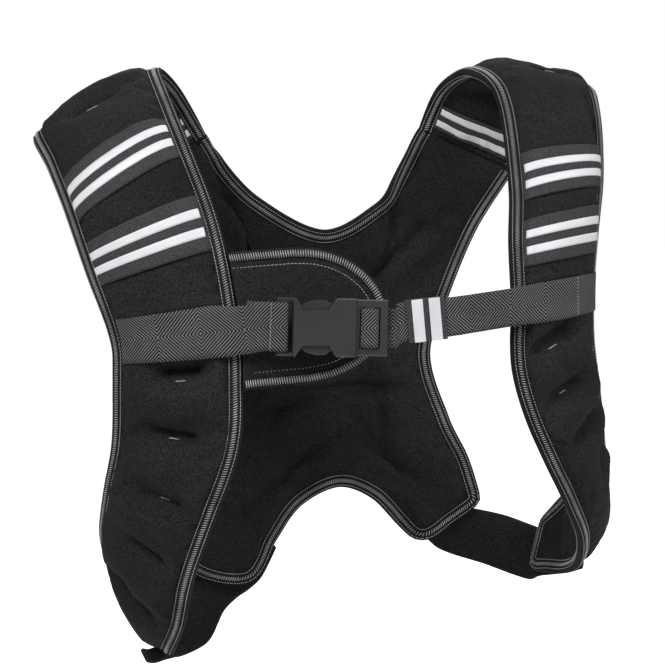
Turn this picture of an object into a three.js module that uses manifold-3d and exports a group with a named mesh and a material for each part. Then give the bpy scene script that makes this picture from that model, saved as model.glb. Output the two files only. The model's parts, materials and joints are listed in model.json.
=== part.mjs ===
// A weighted vest of padded cloth, as worn: a back panel shaped like an X, two filled shoulder
// straps with reflective tapes, side bands, and a chest strap with a side-release buckle.
// Millimetres, +Z up. The front of the vest faces -Y and the wearer's left is +X.
// The origin lies midway between the shoulders, under the straps, where the vest is carried.

import * as THREE from "three";
import { mergeVertices } from "three/addons/utils/BufferGeometryUtils.js";
import createManifold from "manifold-3d";

// Driving sizes of the vest
const shoulderSpan = 154;
const chestDepth = 100;
const backDepth = 84;
const vestDrop = 380;
const crestRise = 28;

// Padded pieces and their edges
const strapWidth = 90;
const strapPad = 16;
const strapBow = 5;
const strapBowIn = 60;
const backPad = 13;
const seamThickness = 5;
const edgeRoll = 20;
const bindingWidth = 9;
const bindingThickness = 6.4;
const clearance = 0.3;
const bindingGap = 0.5;
const seamGap = 0.6;

// Side bands
const bandWidth = 40;
const bandThickness = 3;
const bandOverlap = 26;
const bandLift = 1.2;
const leftBandSag = 5;
const rightBandSag = 10;
// How far each band lies past the strap's middle line, towards the arm edge
const leftBandShift = -3.5;
const rightBandShift = -9;

// Reflective tapes
const tapeWidth = 32;
const tapeThickness = 0.8;
const stripeWidth = 6.7;
const stripeThickness = 0.3;
const stripePitch = 13;
const innerTapeWidth = 20;
const innerStripeWidth = 6;
const innerStripePitch = 12;

// How far a tape lies past its section of the strap, and how far its arm edge runs ahead of
// its middle
const tapeAims = {
  upper_tape_right: { past: -4, lean: 4.3 },
  lower_tape_right: { past: -1, lean: 1.6 },
  upper_tape_left: { past: -1.3, lean: 0.7 },
};

// Chest strap
const webbingThickness = 1.6;
const socketWebbingWidth = 31;
const plugWebbingWidth = 25;
const chestBow = 8;
const chestSag = 3;
const chestLift = 7;
const buckleShare = 0.31;
const buckleTilt = 4;
const webbingReach = 0.88;
const keeperWidth = 26;
const keeperThickness = 0.9;
const keeperPlace = 61.5;
const keeperStripeWidth = 7.5;
const keeperStripePitch = 11.5;
const tailPastKeeper = 8;
const foldedBack = 18;

// Side-release buckle, measured along the chest strap from the socket's end
const buckleLength = 71.5;
const buckleHeight = 37;
const buckleThickness = 12;
const frameThickness = 5;
const socketLength = 50.5;
const socketBar = 5.2;
const socketSlot = 5.2;
const notchStart = 12;
const notchMouth = 26;
const notchSlant = 4.4;
const notchDepth = 7.2;
const shellWall = 2.2;
const plugFit = 0.4;
const plugBase = 9;
const armLength = 27;
const armThickness = 3.6;
const guideWidth = 7;
const plugSlot = 3.6;
const plugBar = 6;
const plugEndBar = 5;
const slotPlay = 1.2;
const buckleRound = 1;

// Flap behind the buckle
const guardReach = 98;
const guardHeight = 82;
const guardRise = 2.5;
const guardInset = 1;
const guardThickness = 3.4;
const guardBindingWidth = 6;
const guardBindingThickness = 4.6;
const guardSetback = 3;
const guardSettle = 30;
const guardStraightShare = 0.45;

// Sections of each shoulder strap, from the seam behind the shoulder to the strap's end.
// out is a share of shoulderSpan, drop of vestDrop, wide of strapWidth and fill of strapPad.
// depth is a share of chestDepth in front (negative) and of backDepth behind (positive).
// turn and dip aim the line from the neck edge to the arm edge, in degrees: turn swings it
// towards the back, and dip tips it down.
const leftStrapSections = [
  { name: "seam", out: 0.755, depth: 0.577, drop: 0.17, wide: 0.86, turn: -6, dip: 28, fill: 0.8 },
  { name: "collar", out: 0.8, depth: 0.515, drop: 0.138, wide: 0.92, turn: -5, dip: 26, fill: 0.85 },
  { name: "rise", out: 0.89, depth: 0.345, drop: 0.085, wide: 1.06, turn: 4, dip: 18, fill: 0.95 },
  { name: "crest", out: 0.99, depth: 0.07, drop: 0.05, wide: 1.07, turn: 7, dip: 11, fill: 0.9 },
  { name: "brow", out: 1.0, depth: -0.32, drop: 0.096, wide: 0.98, turn: 17, dip: 9, fill: 0.95 },
  { name: "upper_tape", out: 0.953, depth: -0.63, drop: 0.237, wide: 0.94, turn: 23, dip: -3, fill: 1 },
  { name: "lower_tape", out: 0.889, depth: -0.8, drop: 0.341, wide: 0.952, turn: 28, dip: -3, fill: 1 },
  { name: "chest", out: 0.853, depth: -0.88, drop: 0.443, wide: 0.93, turn: 31, dip: -2, fill: 0.9 },
  { name: "waist", out: 0.837, depth: -0.89, drop: 0.537, wide: 0.96, turn: 32, dip: -5, fill: 1 },
  { name: "belly", out: 0.872, depth: -0.85, drop: 0.62, wide: 0.95, turn: 35, dip: -6, fill: 1 },
  { name: "hip", out: 0.94, depth: -0.74, drop: 0.703, wide: 0.935, turn: 43, dip: -10, fill: 1 },
  { name: "bend", out: 1.026, depth: -0.525, drop: 0.785, wide: 0.88, turn: 52, dip: -17, fill: 1 },
  { name: "flank", out: 1.083, depth: -0.225, drop: 0.857, wide: 0.79, turn: 65, dip: -35, fill: 0.95 },
  { name: "side", out: 1.076, depth: 0.09, drop: 0.907, wide: 0.75, turn: 66, dip: -56, fill: 0.9 },
  { name: "end", out: 0.985, depth: 0.43, drop: 0.94, wide: 0.51, turn: 35, dip: -62, fill: 0.7 },
];
const rightStrapSections = [
  { name: "seam", out: 0.69, depth: 0.583, drop: 0.155, wide: 0.82, turn: -5.5, dip: 28, fill: 0.8 },
  { name: "collar", out: 0.742, depth: 0.536, drop: 0.124, wide: 0.86, turn: -5, dip: 27, fill: 0.85 },
  { name: "rise", out: 0.878, depth: 0.339, drop: 0.07, wide: 1.0, turn: 5, dip: 27, fill: 0.95 },
  { name: "crest", out: 1.0, depth: 0.048, drop: 0.045, wide: 1.09, turn: 5, dip: 25, fill: 0.8 },
  { name: "brow", out: 0.985, depth: -0.38, drop: 0.107, wide: 1.05, turn: 13, dip: 22, fill: 0.9 },
  { name: "upper_tape", out: 0.945, depth: -0.665, drop: 0.185, wide: 1.04, turn: 15, dip: 22, fill: 1 },
  { name: "lower_tape", out: 0.877, depth: -0.84, drop: 0.306, wide: 1.05, turn: 20, dip: 14, fill: 1 },
  { name: "chest", out: 0.819, depth: -0.91, drop: 0.451, wide: 0.98, turn: 25, dip: 2, fill: 0.9 },
  { name: "waist", out: 0.824, depth: -0.91, drop: 0.529, wide: 1.0, turn: 28, dip: 1, fill: 1 },
  { name: "belly", out: 0.849, depth: -0.85, drop: 0.641, wide: 1.02, turn: 32, dip: 0, fill: 1 },
  { name: "hip", out: 0.938, depth: -0.75, drop: 0.751, wide: 0.965, turn: 41, dip: -12, fill: 1 },
  { name: "bend", out: 0.99, depth: -0.58, drop: 0.84, wide: 0.93, turn: 48, dip: -18, fill: 1 },
  { name: "flank", out: 0.982, depth: -0.33, drop: 0.917, wide: 0.875, turn: 55, dip: -28, fill: 0.95 },
  { name: "side", out: 0.95, depth: -0.02, drop: 0.972, wide: 0.75, turn: 64, dip: -48, fill: 0.9 },
  { name: "end", out: 0.89, depth: 0.31, drop: 0.995, wide: 0.51, turn: 42, dip: -60, fill: 0.7 },
];

// Tacked dents of each strap. near and past are the section before the dent and how far it
// lies towards the next one, place and reach its middle and half length across the strap as
// shares of the half width, and lean its slant along the strap as a share of that reach.
const leftTacks = [
  { near: "crest", past: 0.55, place: 0.05, reach: 0.22, lean: 0 },
  { near: "waist", past: 0.9, place: -0.25, reach: 0.4, lean: -0.3 },
  { near: "belly", past: 0.6, place: 0.35, reach: 0.26, lean: -0.4 },
  { near: "hip", past: 0.35, place: 0.55, reach: 0.24, lean: -0.5 },
  { near: "bend", past: 0.1, place: 0.75, reach: 0.2, lean: -0.6 },
];
const rightTacks = [
  { near: "crest", past: 0.75, place: 0.1, reach: 0.3, lean: 0 },
  { near: "waist", past: 0.8, place: 0.05, reach: 0.3, lean: 0 },
  { near: "belly", past: 0.75, place: 0.1, reach: 0.32, lean: -0.3 },
  { near: "hip", past: 0.7, place: 0.15, reach: 0.34, lean: -0.45 },
  { near: "bend", past: 0.7, place: 0.2, reach: 0.3, lean: -0.6 },
];

// Edges of the back panel's padding. across is a share of shoulderSpan, positive on the
// wearer's left; along is the place on the edge, from the wearer's right to the left and
// from the hem to the seam.
const neckEdge = [
  { along: 0.28, across: -0.45, depth: 0.72, drop: 0.17 },
  { along: 0.38, across: -0.26, depth: 0.81, drop: 0.255 },
  { along: 0.5, across: 0.06, depth: 0.86, drop: 0.327 },
  { along: 0.62, across: 0.34, depth: 0.83, drop: 0.283 },
  { along: 0.72, across: 0.46, depth: 0.78, drop: 0.225 },
];
const hemEdge = [
  { along: 0, across: -0.74, depth: 0.9, drop: 0.89 },
  { along: 0.1, across: -0.6, depth: 0.94, drop: 0.94 },
  { along: 0.18, across: -0.41, depth: 0.97, drop: 0.955 },
  { along: 0.25, across: -0.32, depth: 0.99, drop: 0.9 },
  { along: 0.37, across: -0.16, depth: 1.02, drop: 0.824 },
  { along: 0.5, across: 0.07, depth: 1.04, drop: 0.789 },
  { along: 0.62, across: 0.26, depth: 1.02, drop: 0.82 },
  { along: 0.73, across: 0.4, depth: 0.99, drop: 0.886 },
  { along: 0.81, across: 0.47, depth: 0.96, drop: 0.91 },
  { along: 0.9, across: 0.58, depth: 0.93, drop: 0.885 },
  { along: 1, across: 0.7, depth: 0.89, drop: 0.855 },
];
const rightArmholeEdge = [
  { along: 0.22, across: -0.6, depth: 0.93, drop: 0.72 },
  { along: 0.5, across: -0.42, depth: 0.92, drop: 0.56 },
  { along: 0.7, across: -0.5, depth: 0.88, drop: 0.42 },
  { along: 0.88, across: -0.68, depth: 0.75, drop: 0.28 },
];
const leftArmholeEdge = [
  { along: 0.1, across: 0.658, depth: 0.92, drop: 0.782 },
  { along: 0.22, across: 0.585, depth: 0.94, drop: 0.71 },
  { along: 0.5, across: 0.5, depth: 0.93, drop: 0.56 },
  { along: 0.7, across: 0.613, depth: 0.88, drop: 0.44 },
  { along: 0.88, across: 0.758, depth: 0.74, drop: 0.31 },
];

// Quilted grooves of the back panel, with the same columns
const backGrooves = [
  [
    { across: -0.23, drop: 0.645 },
    { across: -0.1, drop: 0.63 },
    { across: 0.1, drop: 0.622 },
    { across: 0.36, drop: 0.626 },
  ],
  [
    { across: -0.38, drop: 0.843 },
    { across: -0.2, drop: 0.775 },
    { across: -0.02, drop: 0.725 },
    { across: 0.13, drop: 0.72 },
    { across: 0.29, drop: 0.752 },
    { across: 0.45, drop: 0.806 },
  ],
  [
    { across: 0.3, drop: 0.405 },
    { across: 0.43, drop: 0.375 },
    { across: 0.56, drop: 0.31 },
  ],
  [
    { across: -0.2, drop: 0.405 },
    { across: -0.33, drop: 0.36 },
    { across: -0.45, drop: 0.29 },
  ],
];
const grooveDepth = 0.55;
const grooveHalfWidth = 8;
const tackDepth = 0.5;
const tackHalfWidth = 9;

// Finish of each material
const neoprene = { color: 0x111113, roughness: 0.85, metalness: 0 };
const binding = { color: 0x1b1b1d, roughness: 0.9, metalness: 0 };
const blackTape = { color: 0x1d1d20, roughness: 0.9, metalness: 0 };
const reflective = { color: 0xe9ebee, roughness: 0.45, metalness: 0 };
const webbing = { color: 0x232326, roughness: 0.9, metalness: 0 };
const plastic = { color: 0x1a1a1c, roughness: 0.45, metalness: 0 };

const vest = new THREE.Group();

function addPiece(name, geometry, finish, parent = vest) {
  const piece = new THREE.Mesh(geometry, new THREE.MeshStandardMaterial(finish));
  piece.name = name;
  parent.add(piece);
  return piece;
}

const vector = (x, y, z) => new THREE.Vector3(x, y, z);
const sum = (a, b, share = 1) => a.clone().addScaledVector(b, share);
const difference = (a, b) => a.clone().sub(b);
const mixed = (a, b, share) => a.clone().lerp(b, share);

// Depth share to millimetres: the chest is in front of the shoulders, the back behind them
const depthOf = (share) => share * (share < 0 ? chestDepth : backDepth);
const placeOf = (row, across) => vector(
  across * shoulderSpan,
  depthOf(row.depth),
  crestRise - row.drop * vestDrop,
);

// Evenly divided shares from 0 to 1
const steps = (count) => Array.from({ length: count + 1 }, (_, i) => i / count);

// Lines across a pad, from -1 to 1, closer together where it rounds off at its edges
const acrossLines = (count) => steps(count).map((share) => Math.sin((share - 0.5) * Math.PI));

// Smooth curve through numbers that belong to growing stations
function smooth(stations, values) {
  const slope = (i) => {
    const a = Math.max(i - 1, 0);
    const b = Math.min(i + 1, values.length - 1);
    return (values[b] - values[a]) / (stations[b] - stations[a]);
  };
  return (at) => {
    let i = 0;
    while (i < stations.length - 2 && at > stations[i + 1]) {
      i += 1;
    }
    const span = stations[i + 1] - stations[i];
    const t = THREE.MathUtils.clamp((at - stations[i]) / span, 0, 1);
    const start = (1 + 2 * t) * (1 - t) ** 2 * values[i] + t * (1 - t) ** 2 * span * slope(i);
    const end = t * t * (3 - 2 * t) * values[i + 1] + t * t * (t - 1) * span * slope(i + 1);
    return start + end;
  };
}

// Smooth curve through points, as a function of the share of its length
function smoothPath(points, stations) {
  const x = smooth(stations, points.map((point) => point.x));
  const y = smooth(stations, points.map((point) => point.y));
  const z = smooth(stations, points.map((point) => point.z));
  return (at) => vector(x(at), y(at), z(at));
}

// Share of the way at which each point of a chain lies
function sharesOf(points) {
  const reached = [0];
  for (let i = 1; i < points.length; i += 1) {
    reached.push(reached[i - 1] + points[i].distanceTo(points[i - 1]));
  }
  return reached.map((distance) => distance / reached[reached.length - 1]);
}

// Closed solid from points and triangles, with its faces turned outwards
function closedSolid(points, faces) {
  let volume = 0;
  for (let i = 0; i < faces.length; i += 3) {
    const [a, b, c] = [points[faces[i]], points[faces[i + 1]], points[faces[i + 2]]];
    volume += a.dot(b.clone().cross(c)) / 6;
  }
  const turned = volume < 0 ? faces.slice().reverse() : faces;
  const geometry = new THREE.BufferGeometry().setFromPoints(points);
  geometry.setIndex(turned);
  geometry.computeVertexNormals();
  return geometry;
}

// Solid between an outer and an inner skin, each a grid of points of one size
function solidBetween(outer, inner) {
  const rows = outer.length;
  const columns = outer[0].length;
  const faces = [];
  const quad = (a, b, c, d) => faces.push(a, b, c, a, c, d);
  const out = (i, j) => i * columns + j;
  const inn = (i, j) => rows * columns + i * columns + j;
  const [lastRow, lastColumn] = [rows - 1, columns - 1];
  for (let i = 0; i < lastRow; i += 1) {
    for (let j = 0; j < lastColumn; j += 1) {
      quad(out(i, j), out(i + 1, j), out(i + 1, j + 1), out(i, j + 1));
      quad(inn(i, j), inn(i, j + 1), inn(i + 1, j + 1), inn(i + 1, j));
    }
    quad(out(i + 1, 0), out(i, 0), inn(i, 0), inn(i + 1, 0));
    quad(out(i, lastColumn), out(i + 1, lastColumn), inn(i + 1, lastColumn), inn(i, lastColumn));
  }
  for (let j = 0; j < lastColumn; j += 1) {
    quad(out(0, j), out(0, j + 1), inn(0, j + 1), inn(0, j));
    quad(out(lastRow, j + 1), out(lastRow, j), inn(lastRow, j), inn(lastRow, j + 1));
  }
  return closedSolid([...outer.flat(), ...inner.flat()], faces);
}

// Solid swept along frames with a closed section of out and up distances
function sweep(frames, section) {
  const points = [];
  const faces = [];
  const count = section.length;
  for (const frame of frames) {
    for (const [out, up] of section) {
      points.push(sum(sum(frame.point, frame.out, out), frame.up, up));
    }
  }
  for (let i = 0; i < frames.length - 1; i += 1) {
    for (let k = 0; k < count; k += 1) {
      const next = (k + 1) % count;
      const [a, b] = [i * count + k, i * count + next];
      faces.push(a, b, a + count, b, b + count, a + count);
    }
  }
  const last = (frames.length - 1) * count;
  for (let k = 1; k < count - 1; k += 1) {
    faces.push(0, k + 1, k);
    faces.push(last, last + k, last + k + 1);
  }
  return closedSolid(points, faces);
}

// Frames along a pad's edge. Each station has its point, its normal and the way off the pad
// for the stretch that starts there; corners are mitred so that a sweep keeps its distance.
function edgeFrames(stations) {
  const aways = [];
  for (let i = 0; i < stations.length - 1; i += 1) {
    const along = difference(stations[i + 1].point, stations[i].point).normalize();
    const away = stations[i].away;
    aways.push(sum(away, along, -away.dot(along)).normalize());
  }
  return stations.map((station, i) => {
    const before = aways[Math.max(i - 1, 0)];
    const after = aways[Math.min(i, aways.length - 1)];
    const out = sum(before, after).multiplyScalar(1 / (1 + before.dot(after)));
    return { point: station.point, out, up: station.normal };
  });
}

// Section of the edge binding, outside a pad's edge
function bindingSection(width, thickness) {
  const half = thickness / 2;
  return [
    [bindingGap, -half * 0.8],
    [bindingGap, half * 0.8],
    [bindingGap + width * 0.45, half],
    [bindingGap + width, half * 0.35],
    [bindingGap + width, -half * 0.35],
    [bindingGap + width * 0.45, -half],
  ];
}

// How far a pad has swelled at a distance from its sewn edge
function swell(distance, roll = edgeRoll) {
  const missing = 1 - THREE.MathUtils.clamp(distance / roll, 0, 1);
  return Math.sqrt(1 - missing * missing);
}

// A shoulder strap: its middle surface, its two skins and the stations named in its table.
// u runs along the strap from 0 to 1, v across it from the neck edge (-1) to the arm edge (1).
function shoulderStrap(side, sections, tacks) {
  const anchors = sections.map((row) => placeOf(row, side * row.out));
  const stations = sharesOf(anchors);
  const centre = smoothPath(anchors, stations);
  const column = (name) => smooth(stations, sections.map((row) => row[name]));
  const [wide, turn, dip, fill] = ["wide", "turn", "dip", "fill"].map(column);
  const length = anchors.reduce((total, point, i) => (
    i === 0 ? 0 : total + point.distanceTo(anchors[i - 1])
  ), 0);

  const across = (u) => {
    const swing = THREE.MathUtils.degToRad(turn(u));
    const tip = THREE.MathUtils.degToRad(dip(u));
    return vector(side * Math.cos(swing) * Math.cos(tip), Math.sin(swing) * Math.cos(tip),
      -Math.sin(tip));
  };
  const along = (u) => {
    const [a, b] = [Math.max(u - 0.01, 0), Math.min(u + 0.01, 1)];
    return difference(centre(b), centre(a)).normalize();
  };
  const facing = (u) => along(u).cross(across(u)).multiplyScalar(side).normalize();
  const halfWidth = (u) => wide(u) * strapWidth / 2 - bindingWidth - bindingGap;
  const bow = (u) => strapBow * swell(u * length, strapBowIn)
    * swell((1 - u) * length, strapBowIn);
  const middle = (u, v) => {
    const flat = sum(centre(u), across(u), v * halfWidth(u));
    return sum(flat, facing(u), bow(u) * (1 - v * v));
  };
  const normal = (u, v) => {
    const rise = sum(facing(u), across(u), 2 * v * bow(u) / halfWidth(u));
    return rise.normalize();
  };
  const station = (name) => stations[sections.findIndex((row) => row.name === name)];
  const after = (name) => stations[sections.findIndex((row) => row.name === name) + 1];

  const dents = tacks.map((tack) => {
    const place = THREE.MathUtils.lerp(station(tack.near), after(tack.near), tack.past);
    return { ...tack, along: place * length };
  });
  const dent = (u, v) => dents.reduce((deepest, tack) => {
    const offset = (v - tack.place) * halfWidth(u);
    const reach = tack.reach * halfWidth(u);
    const beyond = Math.max(Math.abs(offset) - reach, 0);
    const past = u * length - tack.along - tack.lean * offset;
    const distance = Math.hypot(beyond, past) / tackHalfWidth;
    return Math.max(deepest, tackDepth * Math.exp(-distance * distance));
  }, 0);
  const thickness = (u, v) => {
    const ends = swell(u * length) * swell((1 - u) * length);
    const dome = Math.sqrt(Math.max(1 - v ** 4, 0));
    const full = Math.max(fill(u) * strapPad - seamThickness, 0);
    return seamThickness + full * dome * ends * (1 - dent(u, v));
  };
  const outer = (u, v, lift = 0) => sum(middle(u, v), normal(u, v), lift + thickness(u, v) * 0.6);
  const inner = (u, v, lift = 0) => sum(middle(u, v), normal(u, v), -lift - thickness(u, v) * 0.4);
  return { side, length, station, across, along, facing, halfWidth, middle, normal, outer, inner };
}

const strapRows = 38;
const strapColumns = 8;
const straps = {
  left: shoulderStrap(1, leftStrapSections, leftTacks),
  right: shoulderStrap(-1, rightStrapSections, rightTacks),
};

// Grid of points of a skin over two lists of lines
const grid = (skin, us, vs) => us.map((u) => vs.map((v) => skin(u, v)));

// The pad of a strap and the binding round its two long edges and its end
function addStrap(name, strap) {
  const us = steps(strapRows);
  const vs = acrossLines(strapColumns);
  addPiece(`shoulder_strap_${name}`, solidBetween(
    grid((u, v) => strap.outer(u, v), us, vs),
    grid((u, v) => strap.inner(u, v), us, vs),
  ), neoprene);

  const rim = [];
  const addStation = (u, v, away) => rim.push({
    point: strap.middle(u, v),
    normal: strap.normal(u, v),
    away,
  });
  const homeward = us.slice().reverse();
  us.slice(0, -1).forEach((u) => addStation(u, 1, strap.across(u)));
  vs.slice(1).reverse().forEach((v) => addStation(1, v, strap.along(1)));
  homeward.forEach((u) => addStation(u, -1, strap.across(u).negate()));
  const frames = edgeFrames(rim);
  addPiece(`strap_binding_${name}`, sweep(
    frames,
    bindingSection(bindingWidth, bindingThickness),
  ), binding);
  return { arm: frames[0], neck: frames[frames.length - 1] };
}

// A piece that lies on a strap's skin between two stations and two lines across it
function strapPatch(strap, skinName, from, to, vs, lift, thickness, uCount = 2, lean = 0) {
  const us = steps(uCount).map((share) => THREE.MathUtils.lerp(from, to, share));
  const skin = (u, v, height) => strap[skinName](u + v * lean / strap.length, v, height);
  return solidBetween(
    grid((u, v) => skin(u, v, lift + thickness), us, vs),
    grid((u, v) => skin(u, v, lift), us, vs),
  );
}

// A reflective tape: a black band sewn across the strap with two pale stripes on it
function addTape(name, strap, skinName, station, sizes) {
  const share = (millimetres) => millimetres / strap.length;
  const { past = 0, lean = 0 } = tapeAims[name] ?? {};
  const place = station + share(past);
  const vs = acrossLines(strapColumns);
  const inset = vs.map((v) => v * 0.985);
  const lift = clearance + 0.3;
  const half = share(sizes.width) / 2;
  addPiece(name, strapPatch(strap, skinName, place - half, place + half, vs, lift,
    tapeThickness, 2, lean), blackTape);
  [-1, 1].forEach((sign, i) => {
    const middle = place + sign * share(sizes.pitch) / 2;
    const reach = share(sizes.stripe) / 2;
    addPiece(`${name}_stripe_${i + 1}`, strapPatch(strap, skinName, middle - reach,
      middle + reach, inset, lift + tapeThickness + clearance + 0.1, stripeThickness, 1, lean),
    reflective);
  });
}

// The back panel: a patch between the neck edge, the hem and the two armholes.
// s runs from the wearer's right to the left, t from the hem up to the neck and the seams.
function backPanel() {
  const seamShare = 6 / 28;
  const seamCorner = (strap, v) => sum(strap.middle(0, v), strap.along(0), -seamGap);
  const rightArm = seamCorner(straps.right, 1);
  const rightNeck = seamCorner(straps.right, -1);
  const leftNeck = seamCorner(straps.left, -1);
  const leftArm = seamCorner(straps.left, 1);
  const edge = (rows, first, last) => {
    const points = rows.map((row) => placeOf(row, row.across));
    const stations = rows.map((row) => row.along);
    if (first) {
      points.unshift(first.point);
      stations.unshift(first.along);
    }
    if (last) {
      points.push(last.point);
      stations.push(last.along);
    }
    return smoothPath(points, stations);
  };
  const neck = edge(neckEdge, { point: rightNeck, along: seamShare },
    { point: leftNeck, along: 1 - seamShare });
  const hem = edge(hemEdge);
  const top = (s) => {
    if (s < seamShare) {
      return mixed(rightArm, rightNeck, s / seamShare);
    }
    if (s > 1 - seamShare) {
      return mixed(leftArm, leftNeck, (1 - s) / seamShare);
    }
    return neck(s);
  };
  const rightSide = edge(rightArmholeEdge, { point: hem(0), along: 0 },
    { point: rightArm, along: 1 });
  const leftSide = edge(leftArmholeEdge, { point: hem(1), along: 0 },
    { point: leftArm, along: 1 });
  const middle = (s, t) => {
    const upright = mixed(hem(s), top(s), t);
    const level = mixed(rightSide(t), leftSide(t), s);
    const corners = mixed(mixed(hem(0), hem(1), s), mixed(rightArm, leftArm, s), t);
    return upright.add(level).sub(corners);
  };
  const step = 0.004;
  const slopes = (s, t) => {
    const [s0, s1] = [Math.max(s - step, 0), Math.min(s + step, 1)];
    const [t0, t1] = [Math.max(t - step, 0), Math.min(t + step, 1)];
    return {
      level: difference(middle(s1, t), middle(s0, t)).divideScalar(s1 - s0),
      upright: difference(middle(s, t1), middle(s, t0)).divideScalar(t1 - t0),
    };
  };
  const normal = (s, t) => {
    const { level, upright } = slopes(s, t);
    return upright.cross(level).normalize();
  };
  const grooves = backGrooves.map((rows) => rows.map((row) => (
    new THREE.Vector2(row.across * shoulderSpan, crestRise - row.drop * vestDrop)
  )));
  const groove = (point) => {
    const flat = new THREE.Vector2(point.x, point.z);
    let nearest = Infinity;
    for (const line of grooves) {
      for (let i = 0; i < line.length - 1; i += 1) {
        nearest = Math.min(nearest, distanceToStretch(flat, line[i], line[i + 1]));
      }
    }
    return grooveDepth * Math.exp(-((nearest / grooveHalfWidth) ** 2));
  };
  const thickness = (s, t) => {
    const { level, upright } = slopes(s, t);
    const sideways = swell(Math.min(s, 1 - s) * level.length());
    const upwards = swell(Math.min(t, 1 - t) * upright.length());
    const full = (backPad - seamThickness) * sideways * upwards;
    return seamThickness + full * (1 - groove(middle(s, t)));
  };
  const outer = (s, t, lift = 0) => sum(middle(s, t), normal(s, t), lift + thickness(s, t) / 2);
  const inner = (s, t, lift = 0) => sum(middle(s, t), normal(s, t), -lift - thickness(s, t) / 2);
  return { seamShare, middle, normal, slopes, outer, inner };
}

function distanceToStretch(point, start, end) {
  const stretch = end.clone().sub(start);
  const share = point.clone().sub(start).dot(stretch) / stretch.lengthSq();
  const foot = start.clone().addScaledVector(stretch, THREE.MathUtils.clamp(share, 0, 1));
  return foot.distanceTo(point);
}

const backPiece = backPanel();

function addBack(rightEnds, leftEnds) {
  const ss = steps(28);
  const ts = steps(20).map((share) => 0.5 - 0.5 * Math.cos(share * Math.PI) * 0.35
    - 0.5 * (1 - 2 * share) * 0.65);
  addPiece("back_panel", solidBetween(
    grid((s, t) => backPiece.outer(s, t), ss, ts),
    grid((s, t) => backPiece.inner(s, t), ss, ts),
  ), neoprene);

  const station = (s, t, away) => ({ point: backPiece.middle(s, t), normal: backPiece.normal(s, t), away });
  const section = bindingSection(bindingWidth, bindingThickness);
  const neckLines = ss.filter((s) => (
    s > backPiece.seamShare - 1e-6 && s < 1 - backPiece.seamShare + 1e-6
  ));
  const neckRim = neckLines.map((s) => station(s, 1, backPiece.slopes(s, 1).upright));
  const neckFrames = edgeFrames(neckRim);
  meetBinding(neckFrames[0], rightEnds.neck);
  meetBinding(neckFrames[neckFrames.length - 1], leftEnds.neck);
  addPiece("neck_binding", sweep(neckFrames, section), binding);

  const down = ts.slice(1).reverse();
  const rightwards = ss.slice(1).reverse();
  const rim = [
    ...down.map((t) => station(1, t, backPiece.slopes(1, t).level)),
    ...rightwards.map((s) => station(s, 0, backPiece.slopes(s, 0).upright.negate())),
    ...ts.map((t) => station(0, t, backPiece.slopes(0, t).level.negate())),
  ];
  const frames = edgeFrames(rim);
  meetBinding(frames[0], leftEnds.arm);
  meetBinding(frames[frames.length - 1], rightEnds.arm);
  addPiece("armhole_and_hem_binding", sweep(frames, section), binding);
}

// Turns the last station of a binding like the strap's binding that it meets at the seam,
// a little off the pad because the pad's own edge leans another way there
function meetBinding(frame, strapFrame) {
  frame.point = sum(frame.point, strapFrame.out, seamGap);
  frame.out = strapFrame.out;
  frame.up = strapFrame.up;
}

const leftEnds = addStrap("left", straps.left);
const rightEnds = addStrap("right", straps.right);
addBack(rightEnds, leftEnds);

const frontTapeSizes = { width: tapeWidth, stripe: stripeWidth, pitch: stripePitch };
for (const [name, strap] of Object.entries(straps)) {
  addTape(`upper_tape_${name}`, strap, "outer", strap.station("upper_tape"), frontTapeSizes);
  addTape(`lower_tape_${name}`, strap, "outer", strap.station("lower_tape"), frontTapeSizes);
}

const innerTapeSizes = {
  width: innerTapeWidth,
  stripe: innerStripeWidth,
  pitch: innerStripePitch,
};
for (const [name, strap] of Object.entries(straps)) {
  addTape(`inner_tape_${name}`, strap, "inner", strap.station("collar"), innerTapeSizes);
}

// A flat band from stops, each a line of three points across the band's width
function flatBand(stops, thickness) {
  const normals = stops.map((line, i) => {
    const before = stops[Math.max(i - 1, 0)][1];
    const after = stops[Math.min(i + 1, stops.length - 1)][1];
    return difference(after, before).cross(difference(line[2], line[0])).normalize();
  });
  const skin = (share) => stops.map((line, i) => (
    line.map((point) => sum(point, normals[i], share * thickness))
  ));
  return solidBetween(skin(0.5), skin(-0.5));
}

// A line of three points about a middle
const lineAcross = (point, direction, width) => [-0.5, 0, 0.5].map((share) => (
  sum(point, direction, share * width)
));

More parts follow.
